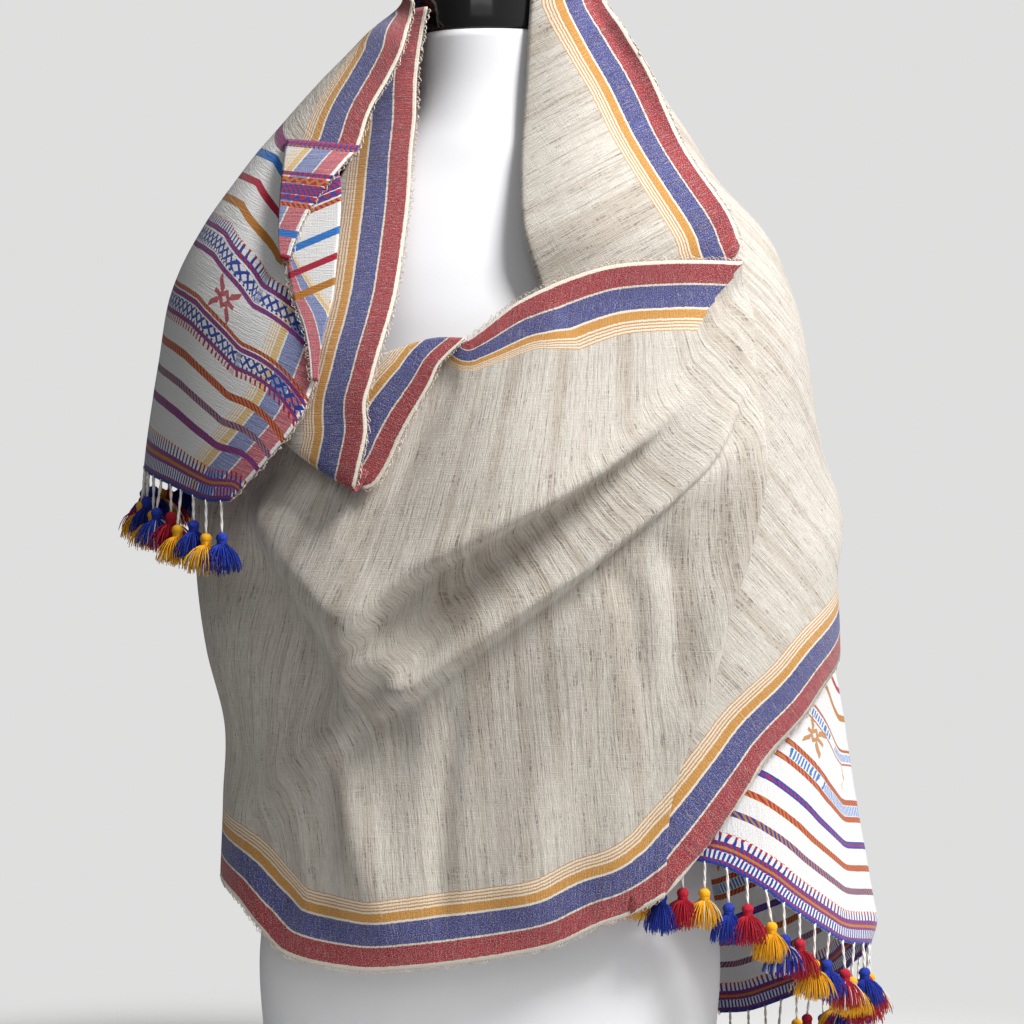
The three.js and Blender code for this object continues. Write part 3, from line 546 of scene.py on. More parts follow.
def stoleCloth(name, ends, starStart, starDye):
    s = newFinish(name)
    along, across, neckEdge, hemEdge, endLine, toJoin, bandAcross = [s.attribute(key) for key in paintNames]
    # threads run across the width, and the flecks lie along them
    fine = s.noise(s.vector(along * 1.3, across * 0.1), detail=3.0, rough=0.6)
    thread = s.noise(s.vector(along * 0.7, across * 0.008, 5.0), detail=2.0)
    fleck = s.noise(s.vector(along * 1.05, across * 0.05, 11.0), detail=2.0, rough=0.5)
    broad = s.noise(s.vector(along * 0.06, across * 0.004, 23.0), detail=3.0)
    warp = s.noise(s.vector(along * 0.05, across * 1.1, 31.0), detail=2.0)
    crumb = s.noise(s.vector(along * 1.3, across * 1.3, 41.0), detail=1.0)
    bodyTone = s.ramp(fine * 0.6 + crumb * 0.4, [(0.3, shade(172, 164, 153)), (0.5, shade(203, 197, 188)),
                                                 (0.66, shade(223, 218, 210)), (0.8, shade(236, 232, 226))])
    bodyTone = s.blend(s.fade(thread, 0.48, 0.7) * 0.5, bodyTone, shade(150, 139, 127))
    bodyTone = s.blend(s.fade(broad, 0.45, 0.68) * 0.5, bodyTone, shade(168, 154, 138))
    bodyTone = s.blend(s.fade(warp, 0.5, 0.8) * 0.22, bodyTone, shade(243, 239, 232))
    dash = s.fade(s.noise(s.vector(along * 0.2, across * 0.5, 71.0), detail=1.0), 0.42, 0.56)
    slub = s.fade(fleck + (broad + thread) * 0.24, 0.8, 0.9) * (0.12 + dash * 0.5)
    bodyTone = s.blend(slub, bodyTone, shade(96, 86, 82))
    # the end's white ground
    isEnd = (endLine < endLong) * (toJoin > 0.0)
    ground = s.ramp(crumb, [(0.3, shade(208, 207, 206)), (0.6, shade(230, 230, 231))])
    base = s.blend(isEnd, bodyTone, ground)
    # borders along both long edges
    wobble = (s.noise(s.vector(along * 0.35, across * 0.1, 51.0)) - 0.5) * 1.2
    edge = neckEdge.sum("MINIMUM", neckEdge, hemEdge) + wobble
    place = edge / stripeReach
    strong = bandStops(borderStripes, stripeReach)
    weak = bandStops([(low, high, pale[kind]) for low, high, kind in borderStripes], stripeReach)
    border = s.blend(isEnd, s.steps(place, strong), s.steps(place, weak))
    speck = s.fade(crumb, 0.48, 0.7) * 0.36 + s.fade(fine, 0.52, 0.76) * 0.28
    deepEnough = s.within(edge, 2.4, 33.6)
    border = s.blend(s.fade(thread + fleck * 0.4, 0.66, 0.84) * 0.4 * deepEnough, border, shade(52, 28, 52))
    border = s.blend(speck, border, dye["cream"])
    base = s.blend(s.steps(place, strong, "Alpha"), base, border)
    # bands of extra threads across the ends
    jitter = (s.noise(s.vector(endLine * 0.2, bandAcross * 0.5, 61.0)) - 0.5) * 0.8
    nearJoin = (toJoin < 9.0) * (endLine < endLong)
    d = (endLine * (1 - nearJoin) + (endLong - toJoin) * nearJoin) + jitter
    t = bandAcross
    slant = s.part((t + d * 0.9) / 3.9) < 0.5
    kinds = {
        "ladder": s.part(t / 3.2) < 0.52,
        "comb": s.part(t / 4.4) < 0.42,
        "cross": s.size(s.zigzag(t / 8.0) - s.zigzag((d - 97.0) / 8.0)) < 0.34,
    }
    for low, high in ((0.0, 120.0), (120.0, 300.0)):  # a ramp holds 32 stops at most
        chosen = [band for band in ends if low <= band[0] < high]
        share = (d - low) / (high - low)
        inside = s.within(d, low + 0.01, high)
        pattern = slant
        for kind, mask in kinds.items():
            zones = [s.within(d, float(band[0]), float(band[1])) for band in chosen if band[4] == kind]
            if zones:
                zone = sum(zones[1:], zones[0])
                pattern = pattern * (1 - zone) + mask * zone
        for which, mask in ((3, 1 - pattern), (2, pattern)):
            stops = bandStops([(band[0] - low, band[1] - low, band[which]) for band in chosen], high - low)
            base = s.blend(s.steps(share, stops, "Alpha") * mask * inside, base, s.steps(share, stops))
    # one star motif at a time, far apart
    p = (s.part((t - starStart) / star["apart"]) - 0.5) * (star["apart"] / star["size"])
    q = (d - star["level"]) / star["size"]
    absP, absQ = s.size(p), s.size(q)
    square = s.size(absP + absQ - 0.4) < 0.19
    rays = (s.size(absP - absQ) < 0.24) * s.within(absP, 0.3, 0.95)
    arms = (absQ < 0.14) * s.within(absP, 0.35, 0.9)
    motif = (square + rays + arms) > 0.5
    base = s.blend(motif * s.within(d, 112.0, 136.0) * (edge > 54.0) * 0.9, base, dye[starDye])
    weave = fine * 0.6 + crumb * 0.3 + warp * 0.25 + thread * 0.4
    return s.finish({
        "Base Color": base, "Roughness": 0.92, "Sheen Weight": 0.2, "Sheen Roughness": 0.6,
        "Specular IOR Level": 0.15, "Normal": s.bump(weave, 0.0011, 0.9),
    })


leftCloth = stoleCloth("handwovenLeft", leftEnd, 22.2, "crimson")
rightCloth = stoleCloth("handwovenRight", rightEnd, 72.2, "ochre")
print("cloth finishes made")

# First turn: right end, back, front panel.
rise = 156
panelShape = {
    "bottom": [
        *roundEdge([[-108, 190, 0]]),
        *seen(firstTurn, [
            [-199, 178, 0], [-184, 167, 0], [-168, 149, 0], [-146, 131, 0], [-95, 123, 0], [-58, 125, 0],
            [-17, 130, 0], [15, 135, 0], [50, 143, 0], [79, 156, 0], [100, 163, 0], [124, 175, 4],
        ]),
    ],
    "top": [
        *roundEdge([[-108, 590, 0]]),
        *seen(firstTurn, [[-190, 578, -4], [-165, 564, -8], [-130, 556, -10], [-100, 553, -10]]),
        *placed(firstTurn, [
            [-78, 556, -144], [-63, 561, -147], [-39, 568, -150], [-20, 567, -155], [22, 598, -150],
            [79, 622, -138], [130, 628, -126], [182, 629, -103],
        ]),
    ],
    "left": roundEdge([[-108, 190, 0], [-108, 300, 0], [-108, 450, 0], [-108, 590, 0]]),
    "right": [
        *seen(firstTurn, [
            [124, 175, 4], [126, 222, 6], [130, 251, 8], [138, 290, 8], [151, 327, 9], [164, 381, 10],
            [176, 414, 10], [184, 454, 10], [188, 501, 10], [190, 568, 9], [188, 604, 9],
        ]),
        *placed(firstTurn, [[182, 629, -103]]),
    ],
    "across": 176, "up": rise,
    "ripple": (0.7, (31, 67, 0.4), (-23, 88, 1.9), (47, -140, 3.1)),
    "folds": foldsSeen(firstTurn, [
        (22, 56, 7, 0.1, 0.5, 8, [
            [-104, 346], [-88, 368], [-70, 394], [-50, 412], [-19, 429], [22, 454], [71, 483], [104, 505],
            [150, 546],
        ]),
        (8.5, 12, 5, 0.1, 0.5, 0, [
            [-96, 362], [-70, 397], [-50, 415], [-19, 432], [22, 457], [71, 486], [104, 508], [140, 540],
        ]),
        (8, 8, 5, 0.1, 0.16, 0, [
            [-80, 318], [-50, 335], [-19, 359], [22, 392], [53, 415], [107, 462], [143, 499], [166, 530],
            [182, 556],
        ]),
        (8, 15, 18, 0.2, 0.25, 0, [
            [120, 240], [122, 251], [130, 290], [143, 327], [156, 381], [168, 414], [176, 454], [180, 501],
            [182, 568],
        ]),
        (-13, 13, 17, 0.15, 0.3, 0, [
            [-72, 330], [-50, 356], [-19, 391], [22, 421], [60, 448], [107, 485], [150, 532],
        ]),
        (15, 17, 40, 0.1, 0.22, 8, [
            [-83, 314], [-50, 332], [-19, 356], [22, 389], [53, 412], [107, 459], [143, 496], [175, 539],
        ]),
        (20, 44, 17, 0.25, 0.12, 0, [
            [-170, 472], [-150, 432], [-130, 398], [-108, 364], [-94, 340], [-84, 320],
        ]),
        (-10, 24, 26, 0.3, 0.3, 0, [
            [-192, 440], [-170, 405], [-148, 368], [-128, 332], [-112, 306], [-98, 288],
        ]),
        (9, 22, 22, 0.3, 0.3, 0, [[-136, 306], [-120, 284], [-98, 236], [-80, 180], [-66, 126]]),
        (-7, 20, 24, 0.3, 0.2, 0, [[-194, 300], [-180, 258], [-164, 215], [-150, 180], [-140, 135]]),
        (7, 30, 30, 0.35, 0.15, 0, [[120, 430], [70, 350], [35, 250], [20, 136]]),
        (6, 24, 24, 0.35, 0.15, 0, [[150, 470], [120, 370], [94, 270], [84, 160]]),
        (-9, 6, 22, 0.1, 0.25, 0, [
            [-83, 297], [-50, 314], [-19, 337], [22, 369], [53, 392], [104, 438], [140, 476],
        ]),
        (-5, 9, 14, 0.05, 0.5, 0, [[184, 622], [173, 604], [158, 578], [140, 548], [112, 512]]),
        (-5, 12, 12, 0.2, 0.4, 0, [[118, 440], [126, 400], [128, 350], [122, 290]]),
        (-5, 10, 12, 0.2, 0.5, 0, [[86, 420], [98, 380], [104, 330], [106, 270]]),
        (4, 12, 12, 0.2, 0.5, 0, [[-120, 540], [-112, 500], [-104, 450], [-100, 400]]),
        (-4, 12, 14, 0.2, 0.5, 0, [[-20, 560], [-40, 520], [-62, 470], [-84, 420]]),
        (4, 16, 16, 0.2, 0.5, 0, [[60, 600], [30, 550], [-6, 500], [-34, 450]]),
        (-5, 14, 14, 0.2, 0.3, 0, [[-20, 330], [-30, 270], [-34, 200], [-34, 130]]),
        (-5, 14, 14, 0.3, 0.3, 0, [[-112, 300], [-112, 240], [-118, 180], [-120, 130]]),
    ]),
}
backShape = {
    "bottom": roundEdge([
        [131.2, 50], [138, 84], [150, 122], [165, 146], [180, 160], [205, 180], [230, 190], [252, 190],
    ]),
    "top": roundEdge([[131.2, 540, -4], [160, 600, -2], [180, 620], [205, 610], [230, 595], [252, 590]]),
    "left": roundEdge([[131.2, 50], [131.2, 300], [131.2, 540, -4]]),
    "right": roundEdge([[252, 190], [252, 300], [252, 450], [252, 590]]),
    "across": 44, "up": rise, "ripple": (0.9, (37, 150, 0.9), (26, -190, 2.2)),
    "folds": foldsRound([
        (9, 18, 18, 0.15, 0.3, 0, [[149, 118], [153, 220], [162, 360], [178, 520]]),
        (-8, 20, 20, 0.15, 0.3, 0, [[168, 146], [172, 240], [182, 360], [200, 500]]),
        (9, 24, 24, 0.15, 0.3, 0, [[194, 172], [197, 260], [206, 380], [220, 520]]),
    ]),
}
endRightShape = {
    "bottom": [
        *seen(firstTurn, [
            [64, 202, -26], [100, 201, -26], [128, 200, -24], [151, 198, -18], [168, 194, -12],
            [183, 186, -7], [199, 176, -3], [211, 167, 0], [229, 154, 0], [244, 144, 0], [260, 134, 0],
        ]),
        *roundEdge([[88, 125], [96, 112], [104, 95], [112, 79], [120, 63], [126, 53], [131.2, 50]]),
    ],
    "top": [
        *seen(firstTurn, [[64, 262, -26], [100, 290, -26], [140, 330, -22], [190, 380, -17]]),
        *roundEdge([[85, 425, -12], [108, 480, -8], [131.2, 540, -4]]),
    ],
    "left": seen(firstTurn, [[64, 202, -26], [64, 232, -26], [64, 262, -26]]),
    "right": roundEdge([[131.2, 50], [131.2, 300], [131.2, 540, -4]]),
    "across": 70, "up": rise, "ripple": (0.7, (29, 190, 0.2), (19, 230, 1.3)),
    "folds": foldsRound([
        (9, 15, 15, 0.1, 0.4, 0, [[86, 120], [88, 190], [92, 280], [100, 400]]),
        (-8, 15, 15, 0.1, 0.4, 0, [[102, 90], [104, 170], [108, 270], [114, 400]]),
        (7, 13, 13, 0.1, 0.4, 0, [[118, 64], [119, 160], [120, 270], [122, 400]]),
    ]),
}
panel = stretch(firstTurn, panelShape)
back = stretch(firstTurn, backShape)
endRight = stretch(firstTurn, endRightShape)
back[:, 0] = endRight[:, -1]
panel[:, 0] = back[:, -1]


def panelMarks(grid, hem, top):
    s, z = unrolled(grid)
    toTop, place = toLine(grid, top)
    width = np.interp(place, [0, 70], [0.45, 1.0])
    overRidge = z - (340 + (s + 104) * 0.79)
    lean = np.interp(overRidge, [-300, -70, -45, -25, -8, 4, 30, 120, 300],
                     [52, 27, 22, 13, 3, 1, 8, 34, 80])
    lean = lean * smooth((s + 300) / 110)
    towardsRight = smooth((grid[..., 0] - 95) / 70) * smooth((overRidge + 90) / 40)
    lean = lean * (1 - towardsRight) + (6 - 0.35 * overRidge) * towardsRight
    cut = np.interp(z, [560, 583, 597, 614, 628], [140, 153, 160, 174, 183])
    toTop = np.where((grid[..., 0] > cut) & (z > 480), farAway, toTop / width)
    return {"along": s - lean, "across": z, "neckEdge": toTop, "hemEdge": toLine(grid, hem)[0]}


topEdge = panel[-1, np.searchsorted(panel[-1, :, 0], -16):]
lipRound = 0.4 + 3.2 * smooth((panel[:, -1, 2] - 230) / 130)
wholePanel = foldLast(panel, radius=lipRound)
endRightEdge = endRight[0]
backEnd, backPlace = toLine(back, endRightEdge)
backCorner = (2.29, 50)  # angle and z
cornerSpread = 110  # how fast the bands' pattern runs on round a corner
s, z = unrolled(back)
s = np.where(s < 0, s + 2 * math.pi * unrollRadius, s)
cornerAngle = np.arctan2(s - backCorner[0] * unrollRadius, z - backCorner[1])
backMarks = {
    "along": s, "across": z, "hemEdge": toLine(back, back[0])[0], "endLine": backEnd,
    "bandAcross": backPlace + np.maximum(cornerAngle, 0) * cornerSpread,
}
rightDistance, rightPlace = toLine(endRight, endRightEdge)
s, z = unrolled(endRight)
rightMarks = {"along": s, "across": z, "endLine": rightDistance, "bandAcross": rightPlace}
capeFront = pointsOf(secondTurn, seen(secondTurn, [
    [134, 185, 2.5], [146, 199, 3], [158, 213, 2.5], [184, 248, 1], [200, 272, 0]]), 24)
frontHem = np.concatenate([panel[0, :-1:2], capeFront])
firstPiece = clothPiece("stoleFirstTurn", [
    (wholePanel, panelMarks(wholePanel, frontHem, topEdge)), (back, backMarks), (endRight, rightMarks),
], rightCloth)
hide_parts("front_panel", "back_inner", "end_right")
print("first turn made")

# Cowl, neck band, lapel.
cowlShape = {
    "bottom": placed(firstTurn, [[-97, 470, -161], [-88, 464, -166]]),
    "top": placed(firstTurn, [
        [-97, 552, -147], [-78, 559.4, -146.5], [-63, 564.4, -149.2], [-39, 571.2, -152], [-16, 571, -158.8],
    ]),
    "left": placed(firstTurn, [[-97, 470, -161], [-98, 500, -157], [-98, 530, -152], [-97, 552, -147]]),
    "right": placed(firstTurn, [
        [-88, 464, -166], [-80, 467, -169], [-70, 482, -169], [-63, 498, -168], [-54, 515, -167],
        [-41, 538, -165], [-34, 553, -163.5], [-16, 571, -158.8],
    ]),
    "across": 26, "up": 40,
}
cowl = stretch(firstTurn, cowlShape)
cowlAway, cowlPlace = toLine(cowl, cowl[:, -1])
cowlWidth = np.interp(cowlPlace, [0, 60, 100, 140], [1.0, 0.95, 0.75, 0.5])
cowlPiece = clothPiece("cowlTurnback", [(cowl, {
    "along": cowlPlace, "across": cowlAway, "neckEdge": cowlAway / cowlWidth})], rightCloth)
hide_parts("cowl_turnback")

bandShape = {
    "bottom": placed(firstTurn, [
        [-168, 514, -116], [-152, 508, -132], [-134, 493, -150], [-112, 478, -166], [-93, 467, -177],
    ]),
    "left": placed(firstTurn, [
        [-168, 514, -116], [-168, 540, -108], [-160, 580, -96], [-146, 620, -84], [-126, 660, -72],
        [-106, 700, -60], [-88, 740, -50], [-72, 780, -42], [-60, 805, -34], [-55, 822, -28],
    ]),
    "right": placed(firstTurn, [
        [-93, 467, -177], [-90, 480, -177], [-85, 505, -174.2], [-86, 525, -169.4], [-82, 540, -165.5],
        [-78, 556, -160], [-70, 585, -146], [-65, 608, -132], [-61, 640, -113], [-57, 687, -89],
        [-54, 735, -66], [-53, 773, -50], [-49, 805, -39], [-46, 822, -37],
    ]),
    "across": 26, "up": 88,
}
band = stretch(firstTurn, bandShape)
wholeBand = foldBottom(band, radius=4.3)
bandPiece = clothPiece("neckBandLeft", [(wholeBand, {
    "along": wholeBand[..., 2], "across": unrolled(wholeBand)[0],
    "neckEdge": toLine(wholeBand, band[:, -1])[0],
})], rightCloth)
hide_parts("neck_band_left")

lapelShape = {
    "bottom": placed(secondTurn, [[44, 600, -128], [86, 604, -130], [130, 607, -117.2], [162, 608, -100.3]]),
    "top": [
        *placed(secondTurn, [[36, 838, -50]]), *roundEdge([[52, 846, 4], [70, 846, 8]]),
        *placed(secondTurn, [[85, 828, -32]]),
    ],
    "left": placed(secondTurn, [
        [44, 600, -128], [37, 620, -125], [29, 647, -120], [26, 674, -106], [26, 710, -86], [28, 740, -72],
        [30, 770, -62], [32, 805, -54], [36, 838, -50],
    ]),
    "right": placed(secondTurn, [
        [162, 608, -100.3], [173, 627, -96.4], [181, 642, -93], [161, 684, -86], [140, 719, -70],
        [121, 765, -56], [100, 804, -44], [85, 828, -32],
    ]),
    "across": 34, "up": 62,
}
lapel = stretch(secondTurn, lapelShape)
wholeLapel = foldFirst(lapel)
lapelPiece = clothPiece("lapelRight", [(wholeLapel, {
    "along": 0.49 * wholeLapel[..., 0] - 0.87 * wholeLapel[..., 2],
    "across": 0.87 * wholeLapel[..., 0] + 0.49 * wholeLapel[..., 2],
    "neckEdge": toLine(wholeLapel, np.concatenate([[[206, -88, 596]], lapel[lapel[:, -1, 2] > 645, -1]]))[0],
})], leftCloth)
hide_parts("lapel_right")
print("neck pieces made")

# Second turn: round the right and back, left end.
capeRise = 76
cornerRows = 14
capeShape = {
    "bottom": [
        *seen(secondTurn, [
            [100, 163, 1.5], [122, 174, 1.5], [134, 185, 2.5], [146, 199, 3], [158, 213, 2.5], [184, 248, 1],
            [200, 272, 0], [227, 299, 0], [246, 323, 0],
        ]),
        *roundEdge([[88, 347], [110, 388], [130, 430], [150, 480], [165, 530], [175, 566], [180, 576]]),
    ],
    "top": [
        *seen(secondTurn, [[50, 836, -3]]),
        *roundEdge([[62, 848, -1], [80, 858], [110, 864], [145, 868], [180, 868]]),
    ],
    "left": seen(secondTurn, [
        [100, 163, 1.5], [100, 222, 0], [102, 290, -6], [118, 355, -12], [136, 424, -15], [142, 500, -15],
        [142, 560, -19], [130, 606, -22.5], [112, 650, -13], [94, 700, -6], [80, 740, -5], [68, 780, -4],
        [56, 815, -3], [50, 836, -3],
    ]),
    "right": roundEdge([[180, 576], [180, 640], [180, 760], [180, 868]]),
    "across": 120, "up": capeRise, "ripple": (0.7, (27, 61, 0.7), (-39, 77, 2.6)),
    "folds": foldsRound([
        (9, 26, 22, 0.2, 0.4, 0, [[72, 390], [100, 475], [135, 580], [162, 665]]),
        (-7, 20, 20, 0.2, 0.4, 0, [[84, 375], [115, 455], [145, 540], [164, 600]]),
        (8, 22, 20, 0.3, 0.4, 0, [[95, 640], [125, 695], [150, 740], [164, 760]]),
    ]),
}
endLeftShape = {
    "bottom": [
        *roundEdge([[-169, 524], [-160, 522], [-140, 511], [-120, 498], [-100, 488], [-86, 482, 1]]),
        *seen(secondTurn, [[-236, 470, 3], [-215, 461, 6], [-201, 456, 9], [-184, 456, 12]]),
    ],
    "top": [
        *roundEdge([[-180, 868], [-145, 866], [-110, 858], [-86, 846, 1]]),
        *placed(secondTurn, [[-57, 828, -35]]),
    ],
    "left": roundEdge([[-169, 524], [-171, 550], [-175, 568], [-180, 576], [-180, 680], [-180, 868]]),
    "right": [
        *seen(secondTurn, [
            [-184, 456, 12], [-163, 478, 13], [-136, 510, 14], [-124, 537, 14], [-122, 558, 13],
            [-118, 581, 11], [-113, 602, 8], [-110, 645, 6], [-109, 674, 5], [-108, 694, 4], [-95, 712, 2],
            [-86, 742, 1], [-73, 767], [-63, 791],
        ]),
        *placed(secondTurn, [[-59, 810, -42], [-57, 828, -35]]),
    ],
    "across": 118, "ripple": (0.6, (33, 83, 0.2), (-21, 120, 1.2)),
    "folds": [
        *foldsSeen(secondTurn, [
            (-8, 14, 14, 0.3, 0.3, 0, [[-150, 722], [-153, 690], [-156, 650], [-158, 600]]),
        ]),
        *foldsRound([
            (9, 22, 22, 0.25, 0.15, 0, [[-150, 780], [-146, 690], [-140, 600], [-138, 510]]),
            (-8, 18, 18, 0.25, 0.15, 0, [[-128, 770], [-122, 690], [-118, 600], [-116, 496]]),
            (7, 16, 16, 0.25, 0.2, 0, [[-166, 770], [-163, 690], [-160, 600], [-158, 520]]),
        ]),
    ],
}
cape = stretch(secondTurn, capeShape)
backTurns, backRises = np.diff(np.asarray(endLeftShape["left"])[:, :2], axis=0).T
backSteps = np.hypot(backTurns * unrollRadius, backRises)
notch = backSteps[:3].sum() / backSteps.sum()
cornerShares = np.linspace(0, notch, cornerRows + 1)
endLeftShape["up"] = np.concatenate([cornerShares, np.linspace(notch, 1, capeRise + 1)[1:]])
endLeft = stretch(secondTurn, endLeftShape)
endLeft[cornerRows:, 0] = cape[:, -1]

virtualEdge = pointsOf(secondTurn, seen(secondTurn, [
    [-184, 456, 12], [-163, 478, 13], [-136, 510, 14], [-124, 537, 14], [-114, 562, 12], [-103, 590, 10],
    [-90, 612, 10], [-78, 650, 10]]))
collarEdge = endLeft[np.searchsorted(endLeft[:, -1, 2], 700):, -1]
hemLine = np.concatenate([panel[0, -40:-1:2], cape[0, cape[0, :, 0] > 132][:1], cape[0, 24:],
                          endLeft[cornerRows::-1, 0]])
leftLine = endLeft[0]
joinTable = [  # degrees and z of the line where the white end meets the body
    [-180, 850], [-150, 830], [-130, 802], [-120, 787], [-95, 752], [-80, 736], [-68, 718], [-55, 700],
    [-40, 690], [-20, 680],
]


def leftEndMarks(grid):
    s, z = unrolled(grid)
    distance, place = toLine(grid, leftLine)
    degrees = np.degrees(s / unrollRadius)
    degrees = np.where(degrees > 170, degrees - 360, degrees)
    join = np.interp(degrees, *zip(*joinTable))
    fan = np.interp(degrees, [-180, -130, -100, -70, -55, -40], [1.0, 0.95, 0.88, 0.86, 0.95, 1.0])
    level = distance * fan
    fromSide = np.interp(degrees, [-180, -90, -75, -60, -45, -35], [-36, -34, -25, -3, 33, 60])
    slope = 0.36 * smooth(level / 50) * (1 - 0.6 * smooth((level - 150) / 60)) * smooth((degrees + 178) / 70)
    bands = np.minimum(level + slope * fromSide, 283 + 60 * smooth((-105 - degrees) / 30))
    pastEnd = np.maximum((grid - leftLine[-1]) @ unit(leftLine[-1] - leftLine[-4]), 0)
    beforeStart = np.maximum((leftLine[0] - grid) @ unit(leftLine[3] - leftLine[0]), 0)
    return {"endLine": bands, "toJoin": join - z, "bandAcross": place + pastEnd - beforeStart,
            "along": s * 0.4 + z * 0.9, "across": s * 0.9 - z * 0.4}


s, z = unrolled(cape)
s = np.where(s < -0.1, s + 2 * math.pi * unrollRadius, s)
capeEnd = toLine(cape, leftLine)[0]
cornerTurn = np.arctan2(191 / 180 * math.pi * unrollRadius - s, z - 524)
turned = smooth((s - 300) / 250)
capeMarks = {
    "along": -(0.77 - 0.3 * turned) * s - (0.64 - 0.2 * turned) * z, "across": 0.77 * z - 0.64 * s,
    "hemEdge": toLine(cape, hemLine)[0], "neckEdge": toLine(cape, cape[-1, 26:])[0],
    "endLine": np.where(s > 200, capeEnd, farAway),
    "bandAcross": 430 + np.maximum(cornerTurn, 0) * cornerSpread,
}
leftMarks = leftEndMarks(endLeft)
leftMarks["neckEdge"] = np.minimum.reduce([
    toLine(endLeft, line)[0] for line in (virtualEdge, collarEdge, endLeft[-1])])
leftMarks["hemEdge"] = toLine(endLeft, hemLine)[0]
secondPiece = clothPiece("stoleSecondTurn", [(cape, capeMarks), (endLeft, leftMarks)], leftCloth)
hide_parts("cape_outer", "end_left")

turnoutShape = {
    "left": seen(secondTurn, [
        [-125, 541, 16.9], [-127, 562, 16.1], [-131, 580, 14.3], [-140, 604, 11.6], [-145, 632, 9.6],
        [-146, 660, 8.6], [-146, 680, 7.6],
    ]),
    "right": seen(secondTurn, [
        [-120, 540, 16.9], [-119, 558, 16.1], [-115, 581, 14.3], [-110, 602, 11.6], [-107, 645, 9.6],
        [-106, 674, 8.6], [-107, 690, 7.6],
    ]),
    "across": 16, "up": 46,
}
turnout = stretch(secondTurn, turnoutShape)
turnoutLevel = turnout[..., 2] - 431.5 - 0.4 * (turnout[..., 0] + 124)
turnoutWidth = np.interp(turnout[..., 2], [590, 610, 632, 650], [0.55, 0.38, 0.14, 0.05])
turnoutPiece = clothPiece("endLeftTurnout", [(turnout, {
    "along": turnout[..., 2], "across": turnout[..., 0],
    "neckEdge": toLine(turnout, turnout[:, 0])[0] / turnoutWidth,
    "endLine": np.where(turnout[..., 2] < 597, 165, turnoutLevel), "bandAcross": turnout[..., 0],
})], leftCloth, 1.0)
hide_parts("end_left_turnout")

pleatShape = {
    "left": seen(secondTurn, [
        [-149, 630, 12.6], [-151, 650, 12.4], [-151, 675, 11.5], [-150, 700, 8.6], [-148, 722, 3.7],
    ]),
    "right": seen(secondTurn, [
        [-143, 628, 12.6], [-138, 645, 12.4], [-128, 667, 11.9], [-110, 693, 10.9], [-93, 713, 5.6],
    ]),
    "across": 20, "up": 36,
}
pleat = stretch(secondTurn, pleatShape)
pleatDown, pleatPlace = toLine(pleat, pleat[-1])
pleatPiece = clothPiece("endLeftPleat", [(pleat, {
    "along": pleat[..., 2], "across": pleat[..., 0], "neckEdge": toLine(pleat, pleat[:, -1])[0],
    "endLine": 292 - pleatDown, "bandAcross": pleatPlace,
})], leftCloth, 1.0)
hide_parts("end_left_pleat")
print("second turn made")

# Tassels.
tassel = {
    "counts": (10, 11, 10), "floorRoom": 38.5, "cordRadius": 0.75, "plyOut": 0.45, "headHigh": 9.0,
    "headWide": 4.4, "waistWide": 3.1, "tieLevels": (-6.2, -7.0, -7.8), "strands": 120, "strandWide": 0.46,
    "skirtLong": 21.0, "skirtWide": 19.0,
}
yarnColours = {"royal": shade(14, 48, 158), "crimson": shade(176, 10, 44), "gold": shade(236, 172, 20),
               "cord": shade(236, 234, 230)}


def yarnMaterial(name):
    s = newFinish(name)
    colour = s.node("ShaderNodeAttribute", {"attribute_name": "yarn"}, out="Color")
    place = s.node("ShaderNodeTexCoord", out="Object")
    fibre = s.noise(place, scale=1600.0, detail=2.0)
    toned = s.blend(s.fade(fibre, 0.35, 0.75) * 0.06, colour, shade(250, 244, 236))
    return s.finish({"Base Color": toned, "Roughness": 0.8, "Specular IOR Level": 0.12,
                     "Normal": s.bump(fibre, 0.0003, 0.5)})


yarn = yarnMaterial("tasselYarn")


def spoke(turn):
    return np.array([math.cos(turn), math.sin(turn), 0])


def upward(z):
    return np.array([0, 0, z])


def ringFaces(first, rings, sides):  # the wall between rings of points, and a face on both ends
    faces = []
    for k in range(rings - 1):
        for i in range(sides):
            j = (i + 1) % sides
            a, b = first + k * sides, first + (k + 1) * sides
            faces.append((a + i, a + j, b + j, b + i))
    faces.append(tuple(first + i for i in reversed(range(sides))))
    faces.append(tuple(first + (rings - 1) * sides + i for i in range(sides)))
    return faces


class Strands:  # collects thin tubes, each with its own colour
    def __init__(self):
        self.points = []
        self.faces = []
        self.colours = []

    def tube(self, path, widths, colour, sides=3):
        self.faces.extend(ringFaces(len(self.points), len(path), sides))
        for k, point in enumerate(path):
            way = unit(path[min(k + 1, len(path) - 1)] - path[max(k - 1, 0)])
            other = np.array([1.0, 0, 0]) if abs(way[0]) < 0.8 else np.array([0, 1.0, 0])
            a = unit(np.cross(way, other))
            b = np.cross(way, a)
            for i in range(sides):
                turn = 2 * math.pi * i / sides
                self.points.append(point + (a * math.cos(turn) + b * math.sin(turn)) * widths[k])
                self.colours.append(colour)

    def piece(self, name, material):
        mesh = bpy.data.meshes.new(name)
        mesh.from_pydata([tuple(p * mm) for p in self.points], [], self.faces)
        layer = mesh.attributes.new("yarn", "FLOAT_COLOR", "POINT")
        layer.data.foreach_set("color", np.asarray(self.colours, np.float32).reshape(-1))
        return addPiece(name, mesh, material)


